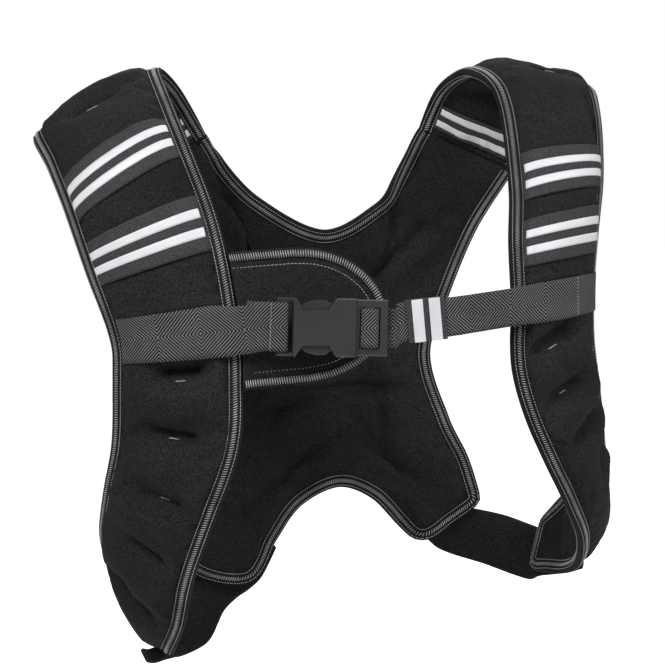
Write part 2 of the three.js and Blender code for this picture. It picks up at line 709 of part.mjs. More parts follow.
// The band from the strap's end, on its outside, to the outside of the back's wing
function addSideBand(name, strap, sag, shift) {
  const lift = clearance + bandLift + bandThickness / 2;
  const wingPoint = (share, t, more = 0) => backPiece.outer(0.5 + strap.side * share, t, lift + more);
  const wingRun = difference(wingPoint(0.4, 0), wingPoint(0.3, 0.09)).normalize();
  const wingAcross = wingRun.clone().cross(backPiece.normal(0.5 + strap.side * 0.4, 0.05));
  const shifted = (point, across) => ({ point: sum(point, across, shift), across });
  const onWing = (share, t, more = 0) => shifted(
    wingPoint(share, t, more),
    wingAcross.clone().multiplyScalar(strap.side).normalize(),
  );
  const onStrap = (fromEnd) => {
    const u = 1 - fromEnd / strap.length;
    return shifted(strap.outer(u, 0, lift), strap.across(u));
  };
  const past = (stop, direction, distance) => ({
    point: sum(stop.point, direction, distance),
    across: stop.across,
  });
  const wingEnd = onWing(0.4, 0, bandLift * 1.4);
  const strapEnd = onStrap(0);
  const stops = [
    onWing(0.3, 0.09, bandLift * 0.6),
    onWing(0.35, 0.045, bandLift * 1.4),
    wingEnd,
    past(wingEnd, wingRun, bindingWidth + 4),
    {
      point: sum(mixed(wingEnd.point, strapEnd.point, 0.5), vector(0, 0, -sag)),
      across: sum(wingEnd.across, strapEnd.across),
    },
    past(strapEnd, strap.along(1), bindingWidth + 4),
    strapEnd,
    onStrap(bandOverlap / 2),
    onStrap(bandOverlap),
  ];
  const stations = sharesOf(stops.map((stop) => stop.point));
  const point = smoothPath(stops.map((stop) => stop.point), stations);
  const across = smoothPath(stops.map((stop) => stop.across), stations);
  const lines = steps(14).map((at) => lineAcross(point(at), across(at).normalize(), bandWidth));
  addPiece(`side_band_${name}`, flatBand(lines, bandThickness), neoprene);
}

addSideBand("left", straps.left, leftBandSag, leftBandShift);
addSideBand("right", straps.right, rightBandSag, rightBandShift);

// The chest line, from the right strap's neck edge (0) to the left strap's (1)
const chestExit = (strap) => {
  const u = strap.station("chest");
  const beyond = bindingGap + bindingWidth + 1;
  const rim = sum(strap.middle(u, -1), strap.across(u), -beyond);
  return sum(rim, vector(0, -1, 0), chestLift);
};
const chestEnds = { right: chestExit(straps.right), left: chestExit(straps.left) };
const chestLength = chestEnds.right.distanceTo(chestEnds.left);
const chestPoint = (share) => {
  const arch = 4 * share * (1 - share);
  return sum(mixed(chestEnds.right, chestEnds.left, share),
    vector(0, -chestBow, -chestSag), arch);
};

// A group whose X runs along the chest line at a share of it, tilted by some degrees
function groupOnChest(share, tilt) {
  const run = difference(chestPoint(share + 0.02), chestPoint(share - 0.02));
  const group = new THREE.Group();
  group.position.copy(chestPoint(share));
  group.rotation.order = "ZYX";
  group.rotation.z = Math.atan2(run.y, run.x);
  group.rotation.y = THREE.MathUtils.degToRad(tilt) - Math.atan2(run.z, Math.hypot(run.x, run.y));
  vest.add(group);
  group.updateMatrixWorld(true);
  return group;
}

const buckle = groupOnChest(buckleShare, buckleTilt);
const keeper = groupOnChest(buckleShare + keeperPlace / chestLength, 0);

// Places along the buckle, from its middle
const socketEnd = -buckleLength / 2;
const mouth = socketEnd + socketLength;
const plugEnd = buckleLength / 2;

const library = await createManifold();
library.setup();
const { Manifold, Mesh } = library;

function toSolid(geometry) {
  const bare = new THREE.BufferGeometry();
  bare.setAttribute("position", geometry.attributes.position.clone());
  if (geometry.index) {
    bare.setIndex(geometry.index.clone());
  }
  const merged = mergeVertices(bare, 1e-4);
  return new Manifold(new Mesh({
    numProp: 3,
    vertProperties: new Float32Array(merged.attributes.position.array),
    triVerts: new Uint32Array(merged.index.array),
  }));
}

function toGeometry(solid) {
  const mesh = solid.getMesh();
  const geometry = new THREE.BufferGeometry();
  geometry.setAttribute("position", new THREE.BufferAttribute(mesh.vertProperties, 3));
  geometry.setIndex(new THREE.BufferAttribute(mesh.triVerts, 1));
  geometry.computeVertexNormals();
  return geometry;
}

// A plate drawn in X and Z, with its thickness along Y and rounded rims
function plate(shape, thickness, round = 0) {
  const geometry = new THREE.ExtrudeGeometry(shape, {
    depth: thickness - 2 * round,
    bevelEnabled: round > 0,
    bevelThickness: round,
    bevelSize: round,
    bevelOffset: -round,
    bevelSegments: 2,
    curveSegments: 4,
  });
  geometry.translate(0, 0, round - thickness / 2);
  geometry.rotateX(Math.PI / 2);
  return toSolid(geometry);
}

function block(x0, x1, thickness, height) {
  const geometry = new THREE.BoxGeometry(x1 - x0, thickness, height);
  geometry.translate((x0 + x1) / 2, 0, 0);
  return toSolid(geometry);
}

function polygon(corners) {
  return new THREE.Shape(corners.map(([x, z]) => new THREE.Vector2(x, z)));
}

function rectangle(x0, x1, halfHeight) {
  return polygon([[x0, -halfHeight], [x1, -halfHeight], [x1, halfHeight], [x0, halfHeight]]);
}

// The socket: a flat shell with a bar for the webbing and a notch on each side
function socketGeometry() {
  const half = buckleHeight / 2;
  const bodyStart = socketEnd + socketBar + socketSlot;
  const notchAt = socketEnd + notchStart;
  const notchEnd = notchAt + notchMouth;
  const shell = plate(rectangle(bodyStart, mouth, half), buckleThickness, buckleRound);
  const frame = plate(rectangle(socketEnd, bodyStart + 3, half), frameThickness, buckleRound);
  const slotHalf = (socketWebbingWidth + slotPlay) / 2;
  const slot = block(socketEnd + socketBar, bodyStart, buckleThickness, 2 * slotHalf);
  const cavity = block(notchAt + notchSlant - 2, mouth + 1, buckleThickness - 2 * shellWall,
    buckleHeight - 2 * shellWall);
  const notch = (sign) => plate(polygon([
    [notchAt, sign * (half + 1)],
    [notchAt, sign * half],
    [notchAt + notchSlant, sign * (half - notchDepth)],
    [notchEnd - notchSlant, sign * (half - notchDepth)],
    [notchEnd, sign * half],
    [notchEnd, sign * (half + 1)],
  ]), buckleThickness + 2);
  const cuts = Manifold.union([slot, cavity, notch(1), notch(-1)]);
  return toGeometry(shell.add(frame).subtract(cuts));
}

// The plug: a base in the socket's mouth, two spring arms whose heads show in the notches,
// a middle guide, and a ladder frame that the webbing is threaded through
function plugGeometry() {
  const half = buckleHeight / 2;
  const inner = half - shellWall - plugFit;
  const depth = buckleThickness - 2 * (shellWall + plugFit);
  const baseStart = mouth - plugBase;
  const base = block(baseStart, mouth + plugFit + 1, depth, 2 * inner);
  const towardsTip = (share) => baseStart - share * armLength;
  const guide = block(towardsTip(0.67), baseStart + 1, depth, guideWidth);
  const floor = half - notchDepth;
  const arm = (sign) => {
    const tip = towardsTip(1);
    const shape = new THREE.Shape();
    shape.moveTo(baseStart + 1, sign * (floor - armThickness + 1.6));
    shape.lineTo(baseStart + 1, sign * (floor + 1.6));
    shape.quadraticCurveTo(towardsTip(0.22), sign * (floor + 2),
      towardsTip(0.37), sign * (half - 1.2));
    shape.quadraticCurveTo(towardsTip(0.67), sign * half,
      towardsTip(0.89), sign * (half - 3.5));
    shape.lineTo(tip, sign * (floor + 0.4));
    shape.lineTo(tip + 1, sign * (floor - 2.4));
    shape.quadraticCurveTo(towardsTip(0.44), sign * (floor + 0.4), baseStart + 1,
      sign * (floor - armThickness + 1.6));
    return plate(shape, depth);
  };
  const frameStart = mouth + plugFit;
  const frame = plate(rectangle(frameStart, plugEnd, half - 0.6), frameThickness, buckleRound);
  const slotHeight = plugWebbingWidth + slotPlay;
  const outerSlot = block(plugEnd - plugEndBar - plugSlot, plugEnd - plugEndBar,
    buckleThickness, slotHeight);
  const barStart = plugEnd - plugEndBar - plugSlot - plugBar;
  const innerSlot = block(barStart - plugSlot, barStart, buckleThickness, slotHeight);
  const whole = Manifold.union([base, guide, arm(1), arm(-1), frame]);
  return toGeometry(whole.subtract(outerSlot).subtract(innerSlot));
}

addPiece("buckle_socket", socketGeometry(), plastic, buckle);
addPiece("buckle_plug", plugGeometry(), plastic, buckle);

// Lines of a webbing that lies across a strap at its chest station, from the arm edge inwards
function linesOnStrap(strap, width) {
  const u = strap.station("chest");
  const lift = clearance + 0.6 + webbingThickness / 2;
  return [1, 0.6, 0.2, -0.2, -0.6, -0.95].map((share) => [-0.5, 0, 0.5].map((across) => (
    strap.outer(u + across * width / strap.length, share * webbingReach, lift)
  )));
}

// Lines of a webbing at local places of a group
const linesIn = (group, places, width) => places.map(([x, y]) => (
  [0.5, 0, -0.5].map((share) => group.localToWorld(vector(x, y, share * width)))
));

const layer = webbingThickness + clearance;

// Right chest webbing: over the socket's bar, through its slot and folded back behind itself
function addSocketWebbing() {
  const near = frameThickness / 2 + webbingThickness / 2 + 0.4;
  const bar = socketEnd + socketBar;
  const turn = bar + webbingThickness / 2 + 1.1;
  const free = socketEnd - 7;
  const freeDepth = -near + 1.6;
  const start = buckle.worldToLocal(chestPoint(0.04));
  const slope = (start.y - freeDepth) / (start.x - free);
  const behind = (x) => freeDepth + slope * (x - free) + layer + 0.1;
  const tail = socketEnd - foldedBack;
  const places = [
    [free, freeDepth],
    [socketEnd - 1, -near],
    [bar - 0.5, -near],
    [turn - 0.4, -near + 0.9],
    [turn, 0],
    [turn - 0.4, near - 0.9],
    [bar - 0.5, near],
    [socketEnd - 1, near],
    [free - 2, behind(free - 2)],
    [tail, behind(tail)],
  ];
  const exit = lineAcross(chestPoint(0), straps.right.along(straps.right.station("chest")),
    socketWebbingWidth);
  addPiece("chest_webbing_right", flatBand([
    ...linesOnStrap(straps.right, socketWebbingWidth),
    exit,
    ...linesIn(buckle, places, socketWebbingWidth),
  ], webbingThickness), webbing);
}

// Left chest webbing: through the keeper, behind the ladder's end bar, over its middle bar
// and back behind itself through the keeper
function addPlugWebbing() {
  const half = frameThickness / 2;
  const near = half + webbingThickness / 2 + 0.4;
  const endBar = plugEnd - plugEndBar;
  const outerSlot = endBar - plugSlot / 2;
  const bar = endBar - plugSlot - plugBar;
  const innerSlot = bar - plugSlot / 2;
  const places = [
    [plugEnd + 7, near - 1.4],
    [plugEnd, near],
    [endBar + 0.4, near],
    [outerSlot, half],
    [outerSlot, -half],
    [endBar - plugSlot - 0.6, -near],
    [bar + 0.6, -near],
    [innerSlot, -half],
    [innerSlot, half],
    [bar + 0.6, near + 0.4],
    [endBar - plugSlot, near + layer],
    [endBar + 0.4, near + layer + 0.3],
    [plugEnd, near + layer + 0.3],
    [plugEnd + 7, near - 1.4 + layer + 0.2],
  ];
  const inside = keeperWidth / 2 + 2;
  const layers = [[inside, -layer / 2], [-inside, -layer / 2]];
  const tail = [[-inside, layer / 2], [inside + tailPastKeeper, layer / 2]];
  const exit = lineAcross(chestPoint(1), straps.left.along(straps.left.station("chest")),
    plugWebbingWidth);
  addPiece("chest_webbing_left", flatBand([
    ...linesOnStrap(straps.left, plugWebbingWidth),
    exit,
    ...linesIn(keeper, layers, plugWebbingWidth),
    ...linesIn(buckle, places, plugWebbingWidth),
    ...linesIn(keeper, tail, plugWebbingWidth),
  ], webbingThickness), webbing);
}

addSocketWebbing();
addPlugWebbing();

// The keeper: a loop round both layers of the left webbing, with two pale stripes in front
function addKeeper() {
  const innerHeight = plugWebbingWidth / 2 + clearance;
  const innerDepth = layer / 2 + webbingThickness / 2 + 0.35;
  const [outerHeight, outerDepth] = [innerHeight + keeperThickness, innerDepth + keeperThickness];
  const box = (height, depth) => polygon([
    [-height, -depth], [height, -depth], [height, depth], [-height, depth],
  ]);
  const shape = box(outerHeight, outerDepth);
  shape.holes.push(box(innerHeight, innerDepth));
  const loop = new THREE.ExtrudeGeometry(shape, { depth: keeperWidth, bevelEnabled: false });
  loop.translate(0, 0, -keeperWidth / 2);
  loop.rotateY(Math.PI / 2);
  addPiece("keeper_loop", loop, blackTape, keeper);
  [-1, 1].forEach((sign, i) => {
    const stripe = addPiece(`keeper_stripe_${i + 1}`, new THREE.BoxGeometry(
      keeperStripeWidth,
      stripeThickness,
      2 * outerHeight,
    ), reflective, keeper);
    stripe.position.set(sign * keeperStripePitch / 2,
      -outerDepth - clearance - stripeThickness / 2, 0);
  });
}

addKeeper();

// The flap behind the buckle, sewn on at the right strap's neck edge. s runs from its root to
// its round tip, t from its upper edge (-1) to its lower edge (1).
function addGuard() {
  const strap = straps.right;
  const beyond = bindingGap + bindingWidth + clearance + 0.2;
  const halfHeight = guardHeight / 2 - guardBindingWidth - bindingGap;
  const run = difference(chestEnds.left, chestEnds.right).normalize();
  const reach = guardReach - guardBindingWidth;
  const root = (t) => {
    const u = strap.station("chest") + (t * halfHeight - guardRise) / strap.length;
    return sum(sum(strap.middle(u, -1), strap.across(u), -beyond), vector(0, 1, 0), guardInset);
  };
  const middle = (s, t) => {
    const share = guardStraightShare + (1 - guardStraightShare) * Math.sqrt(1 - t * t);
    const distance = s * share * reach;
    return sum(sum(root(t), run, distance), vector(0, 1, 0), guardSetback * swell(distance, guardSettle));
  };
  const down = difference(root(1), root(-1)).normalize();
  const normal = down.clone().cross(run).normalize();
  const skin = (share) => (s, t) => sum(middle(s, t), normal, share * guardThickness);
  const ss = steps(8);
  const ts = acrossLines(10);
  addPiece("buckle_guard", solidBetween(grid(skin(0.5), ss, ts), grid(skin(-0.5), ss, ts)),
    neoprene);
  const rim = [];
  const addStation = (s, t, away) => rim.push({ point: middle(s, t), normal, away });
  ss.slice(0, -1).forEach((s) => addStation(s, 1, down));
  ts.slice(1).reverse().forEach((t) => addStation(1, t, run));
  ss.slice().reverse().forEach((s) => addStation(s, -1, down.clone().negate()));
  addPiece("guard_binding", sweep(
    edgeFrames(rim),
    bindingSection(guardBindingWidth, guardBindingThickness),
  ), binding);
}

addGuard();

export default vest;
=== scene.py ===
# %% [markdown]
# # A weighted vest, as worn
# The vest is black padded neoprene: two filled straps, an X-shaped back, taped edges, pale
# reflective tapes and a chest strap with a side-release buckle. The measured solids come in
# first as a fixed frame. Each soft piece is then made from the solid that it stands for, so
# that size and place never drift from the measured part.

import json
import math

import bmesh
import bpy
import numpy as np
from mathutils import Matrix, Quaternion, Vector

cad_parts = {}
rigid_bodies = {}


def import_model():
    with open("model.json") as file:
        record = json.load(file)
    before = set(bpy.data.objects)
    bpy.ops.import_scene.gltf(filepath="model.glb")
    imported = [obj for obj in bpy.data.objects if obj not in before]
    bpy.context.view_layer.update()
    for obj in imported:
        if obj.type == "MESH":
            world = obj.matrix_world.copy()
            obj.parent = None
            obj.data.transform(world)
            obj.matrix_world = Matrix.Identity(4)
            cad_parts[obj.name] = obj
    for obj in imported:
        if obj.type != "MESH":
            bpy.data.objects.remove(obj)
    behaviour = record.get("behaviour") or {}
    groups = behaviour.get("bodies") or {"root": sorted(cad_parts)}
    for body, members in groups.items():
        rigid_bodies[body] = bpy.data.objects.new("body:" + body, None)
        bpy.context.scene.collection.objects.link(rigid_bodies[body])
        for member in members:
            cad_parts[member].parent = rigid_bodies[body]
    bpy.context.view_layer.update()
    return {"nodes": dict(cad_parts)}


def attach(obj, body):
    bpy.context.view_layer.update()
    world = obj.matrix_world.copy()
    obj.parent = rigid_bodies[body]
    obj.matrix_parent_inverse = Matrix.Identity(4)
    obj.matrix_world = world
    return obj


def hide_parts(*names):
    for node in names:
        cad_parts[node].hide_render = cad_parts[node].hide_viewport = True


for leftover in list(bpy.data.objects):
    bpy.data.objects.remove(leftover)
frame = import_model()

# %% [markdown]
# ## Camera
# The picture looks at the vest from its front, a little from the wearer's right and a little
# from above, with a long lens, and the vest's top leans to the left. A camera is an object
# that looks along its own -Z, so it is placed first, then turned towards its target, and
# last rolled about its own view line.

# %% Camera at the picture's angle
camera_turn = math.radians(-12)
camera_rise = math.radians(5)
camera_lean = math.radians(4)
camera_distance = 1.4
camera_target = Vector((0, 0, -0.167))
target_off_centre = (0.00385, -0.00874)  # right and up of the picture's middle, in metres

back = Vector((
    math.sin(camera_turn) * math.cos(camera_rise),
    -math.cos(camera_turn) * math.cos(camera_rise),
    math.sin(camera_rise),
))
camera = bpy.data.objects.new("camera", bpy.data.cameras.new("camera"))
bpy.context.scene.collection.objects.link(camera)
camera.location = camera_target + back * camera_distance
facing = (-back).to_track_quat("-Z", "Y") @ Quaternion((0, 0, 1), -camera_lean)
aim = camera_target - facing @ Vector((target_off_centre[0], target_off_centre[1], 0))
look = (aim - camera.location).to_track_quat("-Z", "Y") @ Quaternion((0, 0, 1), -camera_lean)
camera.rotation_mode = "QUATERNION"
camera.rotation_quaternion = look
camera.data.sensor_width = 36
camera.data.lens = 108.4
camera.data.dof.use_dof = False
bpy.context.scene.camera = camera
print("camera at", camera.location)

# %% [markdown]
# ## Floor and light
# The vest is lit like a catalogue picture: a wide soft light beside the camera, a second one
# from the other side, and a white surround. Black cloth shows its form only by how it shades,
# so the surround is dimmer for the vest than for the eye.

# %% Floor and lights
def mesh_piece(name, points, faces):
    """A new object from points and faces"""
    mesh = bpy.data.meshes.new(name)
    mesh.from_pydata([tuple(p) for p in points], [], [tuple(int(i) for i in f) for f in faces])
    mesh.update()
    piece = bpy.data.objects.new(name, mesh)
    bpy.context.scene.collection.objects.link(piece)
    return piece


def soft_light(name, place, size, power):
    """A square area light that looks at the vest"""
    light = bpy.data.lights.new(name, "AREA")
    light.shape, light.size, light.energy = "SQUARE", size, power
    lamp = bpy.data.objects.new(name, light)
    bpy.context.scene.collection.objects.link(lamp)
    lamp.location = place
    lamp.rotation_mode = "QUATERNION"
    lamp.rotation_quaternion = (camera_target - Vector(place)).to_track_quat("-Z", "Y")


# place and edge length in metres, and power in watts
lamps = {
    "main_light": ((-1.15, -1.35, 1.35), 0.9, 38),
    "side_light": ((1.5, -1.05, 0.9), 0.8, 19),
    "back_light": ((0.3, 1.4, 1.3), 1.0, 8),
}
for name, (place, size, power) in lamps.items():
    soft_light(name, place, size, power)

floor_height, floor_reach = -0.62, 9
floor_corners = [(x * floor_reach, y * floor_reach, floor_height)
                 for x, y in ((-1, -1), (1, -1), (1, 1), (-1, 1))]
floor = mesh_piece("studio_floor", floor_corners, [(0, 1, 2, 3)])
paint = bpy.data.materials.new("pale_floor")
paint.use_nodes = True
tree = paint.node_tree
surface = tree.nodes["Principled BSDF"]
surface.inputs["Base Color"].default_value = (0.85, 0.85, 0.85, 1)
surface.inputs["Roughness"].default_value = 0.9
surface.inputs["Emission Color"].default_value = (1, 1, 1, 1)
seen = tree.nodes.new("ShaderNodeLightPath")
tree.links.new(seen.outputs["Is Camera Ray"], surface.inputs["Emission Strength"])
floor.data.materials.append(paint)

light_on_vest, light_to_eye = 0.11, 1.0
world = bpy.data.worlds.new("white_surround")
bpy.context.scene.world = world
world.use_nodes = True
tree = world.node_tree
seen = tree.nodes.new("ShaderNodeLightPath")
strength = tree.nodes.new("ShaderNodeMapRange")
strength.inputs["To Min"].default_value = light_on_vest
strength.inputs["To Max"].default_value = light_to_eye
tree.links.new(seen.outputs["Is Camera Ray"], strength.inputs["Value"])
tree.links.new(strength.outputs["Result"], tree.nodes["Background"].inputs["Strength"])
tree.nodes["Background"].inputs["Color"].default_value = (1, 1, 1, 1)
bpy.context.scene.view_settings.view_transform = "Standard"
print("lights", list(lamps), "floor at", floor_height)

# %% [markdown]
# ## Reading a solid back as rows and columns
# Every padded solid is two skins of points in rows and columns, joined round the rim. The
# packed file keeps the triangles but forgets the rows. They can be found again: inside such a
# net six edges meet at each point, and other numbers meet only at its eight corners. From a
# corner, an edge that goes straight on at every point runs along a side to the next corner.

# %% Rows and columns of a solid
def edge_after(vertex, edge, face):
    """The next edge round a vertex, and the face past that edge"""
    following = next(e for e in face.edges if e is not edge and vertex in e.verts)
    beyond = next(f for f in following.link_faces if f is not face)
    return following, beyond


def walk_straight(corner, edge, most):
    """The points along one side of the net, up to its next corner"""
    line, vertex = [corner], edge.other_vert(corner)
    while len(vertex.link_edges) == 6 and len(line) < most:
        line.append(vertex)
        face = edge.link_faces[0]
        for _ in range(3):
            edge, face = edge_after(vertex, edge, face)
        vertex = edge.other_vert(vertex)
    return line + [vertex]


def fill_net(side, top):
    """All rows from the first column and the first row, or None if they don't fit together"""
    near = lambda v: {e.other_vert(v) for e in v.link_edges}
    rows = [list(top)] + [[v] for v in side[1:]]
    for above, row in zip(rows, rows[1:]):
        for j in range(1, len(top)):
            shared = near(above[j - 1]) & near(row[j - 1]) & near(above[j])
            if len(shared) != 1:
                return None
            row.append(shared.pop())
    return rows


def read_skins(node, rows, columns, near):
    """Outer and inner skin of a solid as rows x columns x 3, from the corner nearest a point"""
    net = bmesh.new()
    net.from_mesh(frame["nodes"][node].data)
    bmesh.ops.remove_doubles(net, verts=net.verts, dist=1e-5)
    net.normal_update()
    found = []
    for corner in [v for v in net.verts if len(v.link_edges) == 5]:
        lines = [walk_straight(corner, e, rows + columns) for e in corner.link_edges]
        for side in [line for line in lines if len(line) == rows]:
            for top in lines:
                if len(top) != columns or top[1] is side[1]:
                    continue
                filled = fill_net(side, top)
                if filled:
                    points = np.array([[v.co for v in row] for row in filled])
                    away = sum(v.normal @ (v.co - camera_target) for row in filled for v in row)
                    found.append((points, away))
    net.free()
    nearest = sorted(found, key=lambda f: np.linalg.norm(f[0][0, 0] - np.array(near)))[:2]
    outer, inner = sorted(nearest, key=lambda f: -f[1])
    return outer[0], inner[0]


# the rows and columns of each solid's net, and the corner where it starts, in metres
strap_size, back_size = (39, 9), (29, 21)
seam_corners = {"left": (0.087, 0.05, -0.035), "right": (-0.079, 0.05, -0.03)}
right_wing_corner = (-0.12, 0.07, -0.35)
strap_skins = {side: read_skins(f"shoulder_strap_{side}", *strap_size, corner)
               for side, corner in seam_corners.items()}
back_skins = read_skins("back_panel", *back_size, right_wing_corner)
for name, skins in [*strap_skins.items(), ("back", back_skins)]:
    print(name, "skin", skins[0].shape, "starts at", skins[0][0, 0].round(4))

# %% [markdown]
# ## Smooth nets
# The solids are coarse on purpose. A smooth curve through each row and each column gives the
# same skin with many more points, which the cloth and the stitches need.

# %% Smooth curves through rows and columns
def through(points, at):
    """Points of a smooth curve through the rows of an array, at places counted in rows"""
    last = len(points) - 1
    padded = np.concatenate([[2 * points[0] - points[1]], points, [2 * points[-1] - points[-2]]])
    at = np.clip(np.asarray(at, float), 0, last)
    row = np.minimum(at.astype(int), last - 1)
    share = (at - row).reshape((-1,) + (1,) * (points.ndim - 1))
    p0, p1, p2, p3 = (padded[row + k] for k in range(4))
    return 0.5 * (2 * p1 + (p2 - p0) * share + (2 * p0 - 5 * p1 + 4 * p2 - p3) * share ** 2
                  + (3 * p1 - p0 - 3 * p2 + p3) * share ** 3)


def finer(net, rows, columns):
    """The same skin with more rows and columns"""
    tall = through(net, np.linspace(0, len(net) - 1, rows))
    wide = through(tall.swapaxes(0, 1), np.linspace(0, net.shape[1] - 1, columns))
    return wide.swapaxes(0, 1)


def unit(vectors):
    """The vectors at length one"""
    return vectors / np.maximum(np.linalg.norm(vectors, axis=-1, keepdims=True), 1e-12)


def on_net(net, u, v):
    """Points of a net at shares u along its rows and v along its columns"""
    u, v = np.broadcast_arrays(np.asarray(u, float), np.asarray(v, float))
    last_row, last_column = net.shape[0] - 1, net.shape[1] - 1
    x = np.clip(u * last_row, 0, last_row - 1e-9)
    y = np.clip(v * last_column, 0, last_column - 1e-9)
    i, j = x.astype(int), y.astype(int)
    a, b = (x - i)[..., None], (y - j)[..., None]
    return ((net[i, j] * (1 - a) + net[i + 1, j] * a) * (1 - b)
            + (net[i, j + 1] * (1 - a) + net[i + 1, j + 1] * a) * b)


def distances(line):
    """Distance along a line of points, from its start"""
    return np.concatenate([[0], np.cumsum(np.linalg.norm(np.diff(line, axis=0), axis=1))])


# %% A closed mesh from two skins
def places_on(net):
    """Distance along and across a skin, from its start and its middle line, for each point"""
    middle = net.shape[1] // 2
    along = distances(net[:, middle])
    across = np.stack([distances(row) for row in net])
    return np.broadcast_to(along[:, None], across.shape), across - across[:, middle][:, None]


def skins_to_piece(name, outer, inner, material, slot, replaced):
    """One closed mesh between two nets of the same size, with a map in metres of cloth"""
    rows, columns = outer.shape[:2]
    out = np.arange(rows * columns).reshape(rows, columns)
    inn = out + rows * columns
    quads = [np.stack([out[:-1, :-1], out[1:, :-1], out[1:, 1:], out[:-1, 1:]], -1).reshape(-1, 4),
             np.stack([inn[:-1, :-1], inn[:-1, 1:], inn[1:, 1:], inn[1:, :-1]], -1).reshape(-1, 4)]
    for a, b in [(out[:, 0], inn[:, 0]), (inn[:, -1], out[:, -1]),
                 (inn[0], out[0]), (out[-1], inn[-1])]:
        quads.append(np.stack([a[:-1], b[:-1], b[1:], a[1:]], -1))
    faces = np.concatenate(quads)
    points = np.concatenate([outer.reshape(-1, 3), inner.reshape(-1, 3)])
    corner = points[faces]
    volume = np.einsum("ij,ij->i", corner[:, 0], np.cross(corner[:, 1], corner[:, 2])).sum()
    if volume < 0:
        faces = faces[:, ::-1]
    piece = mesh_piece(name, points, faces)
    along, across = places_on(outer)
    cloth = np.stack([across, along], -1).reshape(-1, 2)
    cloth = np.concatenate([cloth, cloth])
    layer = piece.data.uv_layers.new(name="cloth")
    layer.data.foreach_set("uv", cloth[faces.ravel()].astype(np.float32).ravel())
    return finish_piece(piece, material, replaced)


def finish_piece(piece, material, replaced):
    """Gives a piece its material, its body and the solids that it stands for"""
    piece.data.polygons.foreach_set("use_smooth", [True] * len(piece.data.polygons))
    piece.data.materials.append(material)
    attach(piece, "root")
    if replaced:
        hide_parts(*replaced)
    print(piece.name, len(piece.data.vertices), "points")
    return piece


# %% [markdown]
# ## Shared effects for the finishes
# Cloth is ribs and fibres. One node group draws fine ribs at any pitch and angle, another
# draws loose fibre specks. Each material places them with its own numbers, so the weave keeps
# its true size on every piece. The groups give out only values, and each material keeps its
# own surface shader.

# %% Node groups: ribs and specks
def new_group(name, inputs, outputs):
    """An empty node group with named sockets"""
    group = bpy.data.node_groups.new(name, "ShaderNodeTree")
    for title, kind, value in inputs:
        socket = group.interface.new_socket(name=title, in_out="INPUT", socket_type=kind)
        if value is not None:
            socket.default_value = value
    for title, kind in outputs:
        group.interface.new_socket(name=title, in_out="OUTPUT", socket_type=kind)
    return group, group.nodes.new("NodeGroupInput"), group.nodes.new("NodeGroupOutput")


def feed(tree, socket, value):
    """Gives an input a link or a constant"""
    if isinstance(value, bpy.types.NodeSocket):
        tree.links.new(value, socket)
    elif value is not None:
        socket.default_value = value


def maths(tree, how, a, b=None, c=None):
    """A Math node whose inputs are sockets or numbers"""
    node = tree.nodes.new("ShaderNodeMath")
    node.operation = how
    for socket, value in zip(node.inputs, (a, b, c)):
        feed(tree, socket, value)
    return node.outputs[0]


def noise(tree, vector, scale, detail=2):
    """A noise value at a place, its scale a socket or a number"""
    node = tree.nodes.new("ShaderNodeTexNoise")
    for title, value in (("Vector", vector), ("Scale", scale), ("Detail", detail)):
        feed(tree, node.inputs[title], value)
    return node.outputs["Fac"]


ribs, rib_in, rib_out = new_group(
    "ribs",
    [("Cloth", "NodeSocketVector", None), ("Pitch", "NodeSocketFloat", 0.001),
     ("Angle", "NodeSocketFloat", 0.0), ("Waver", "NodeSocketFloat", 0.1)],
    [("Height", "NodeSocketFloat"), ("Broken", "NodeSocketFloat")])
turned = ribs.nodes.new("ShaderNodeVectorRotate")
turned.rotation_type = "Z_AXIS"
ribs.links.new(rib_in.outputs["Cloth"], turned.inputs["Vector"])
ribs.links.new(rib_in.outputs["Angle"], turned.inputs["Angle"])
wander = noise(ribs, rib_in.outputs["Cloth"], 350)
parts = ribs.nodes.new("ShaderNodeSeparateXYZ")
ribs.links.new(turned.outputs["Vector"], parts.inputs["Vector"])
turns = maths(ribs, "DIVIDE", parts.outputs["X"], rib_in.outputs["Pitch"])
drift = maths(ribs, "MULTIPLY", maths(ribs, "SUBTRACT", wander, 0.5), rib_in.outputs["Waver"])
wave = maths(ribs, "SINE", maths(ribs, "MULTIPLY", maths(ribs, "ADD", turns, drift), math.tau))
height = maths(ribs, "MULTIPLY_ADD", wave, 0.5, 0.5)
cross = maths(ribs, "DIVIDE", parts.outputs["Y"], rib_in.outputs["Pitch"])
dashes = maths(ribs, "SINE", maths(ribs, "MULTIPLY", maths(ribs, "ADD", cross, drift), math.tau))
ribs.links.new(height, rib_out.inputs["Height"])
ribs.links.new(maths(ribs, "MULTIPLY", height, maths(ribs, "MULTIPLY_ADD", dashes, 0.3, 0.7)),
               rib_out.inputs["Broken"])

specks, speck_in, speck_out = new_group(
    "fibre_specks",
    [("Place", "NodeSocketVector", None), ("Scale", "NodeSocketFloat", 900.0),
     ("Patches", "NodeSocketFloat", 12.0)],
    [("Specks", "NodeSocketFloat"), ("Patch", "NodeSocketFloat")])
fine = noise(specks, speck_in.outputs["Place"], speck_in.outputs["Scale"], detail=3)
broad = noise(specks, speck_in.outputs["Place"], speck_in.outputs["Patches"])
sharp = specks.nodes.new("ShaderNodeMapRange")
sharp.inputs["From Min"].default_value = 0.40
sharp.inputs["From Max"].default_value = 0.66
specks.links.new(fine, sharp.inputs["Value"])
specks.links.new(sharp.outputs["Result"], speck_out.inputs["Specks"])
specks.links.new(broad, speck_out.inputs["Patch"])
print("groups", ribs.name, specks.name)


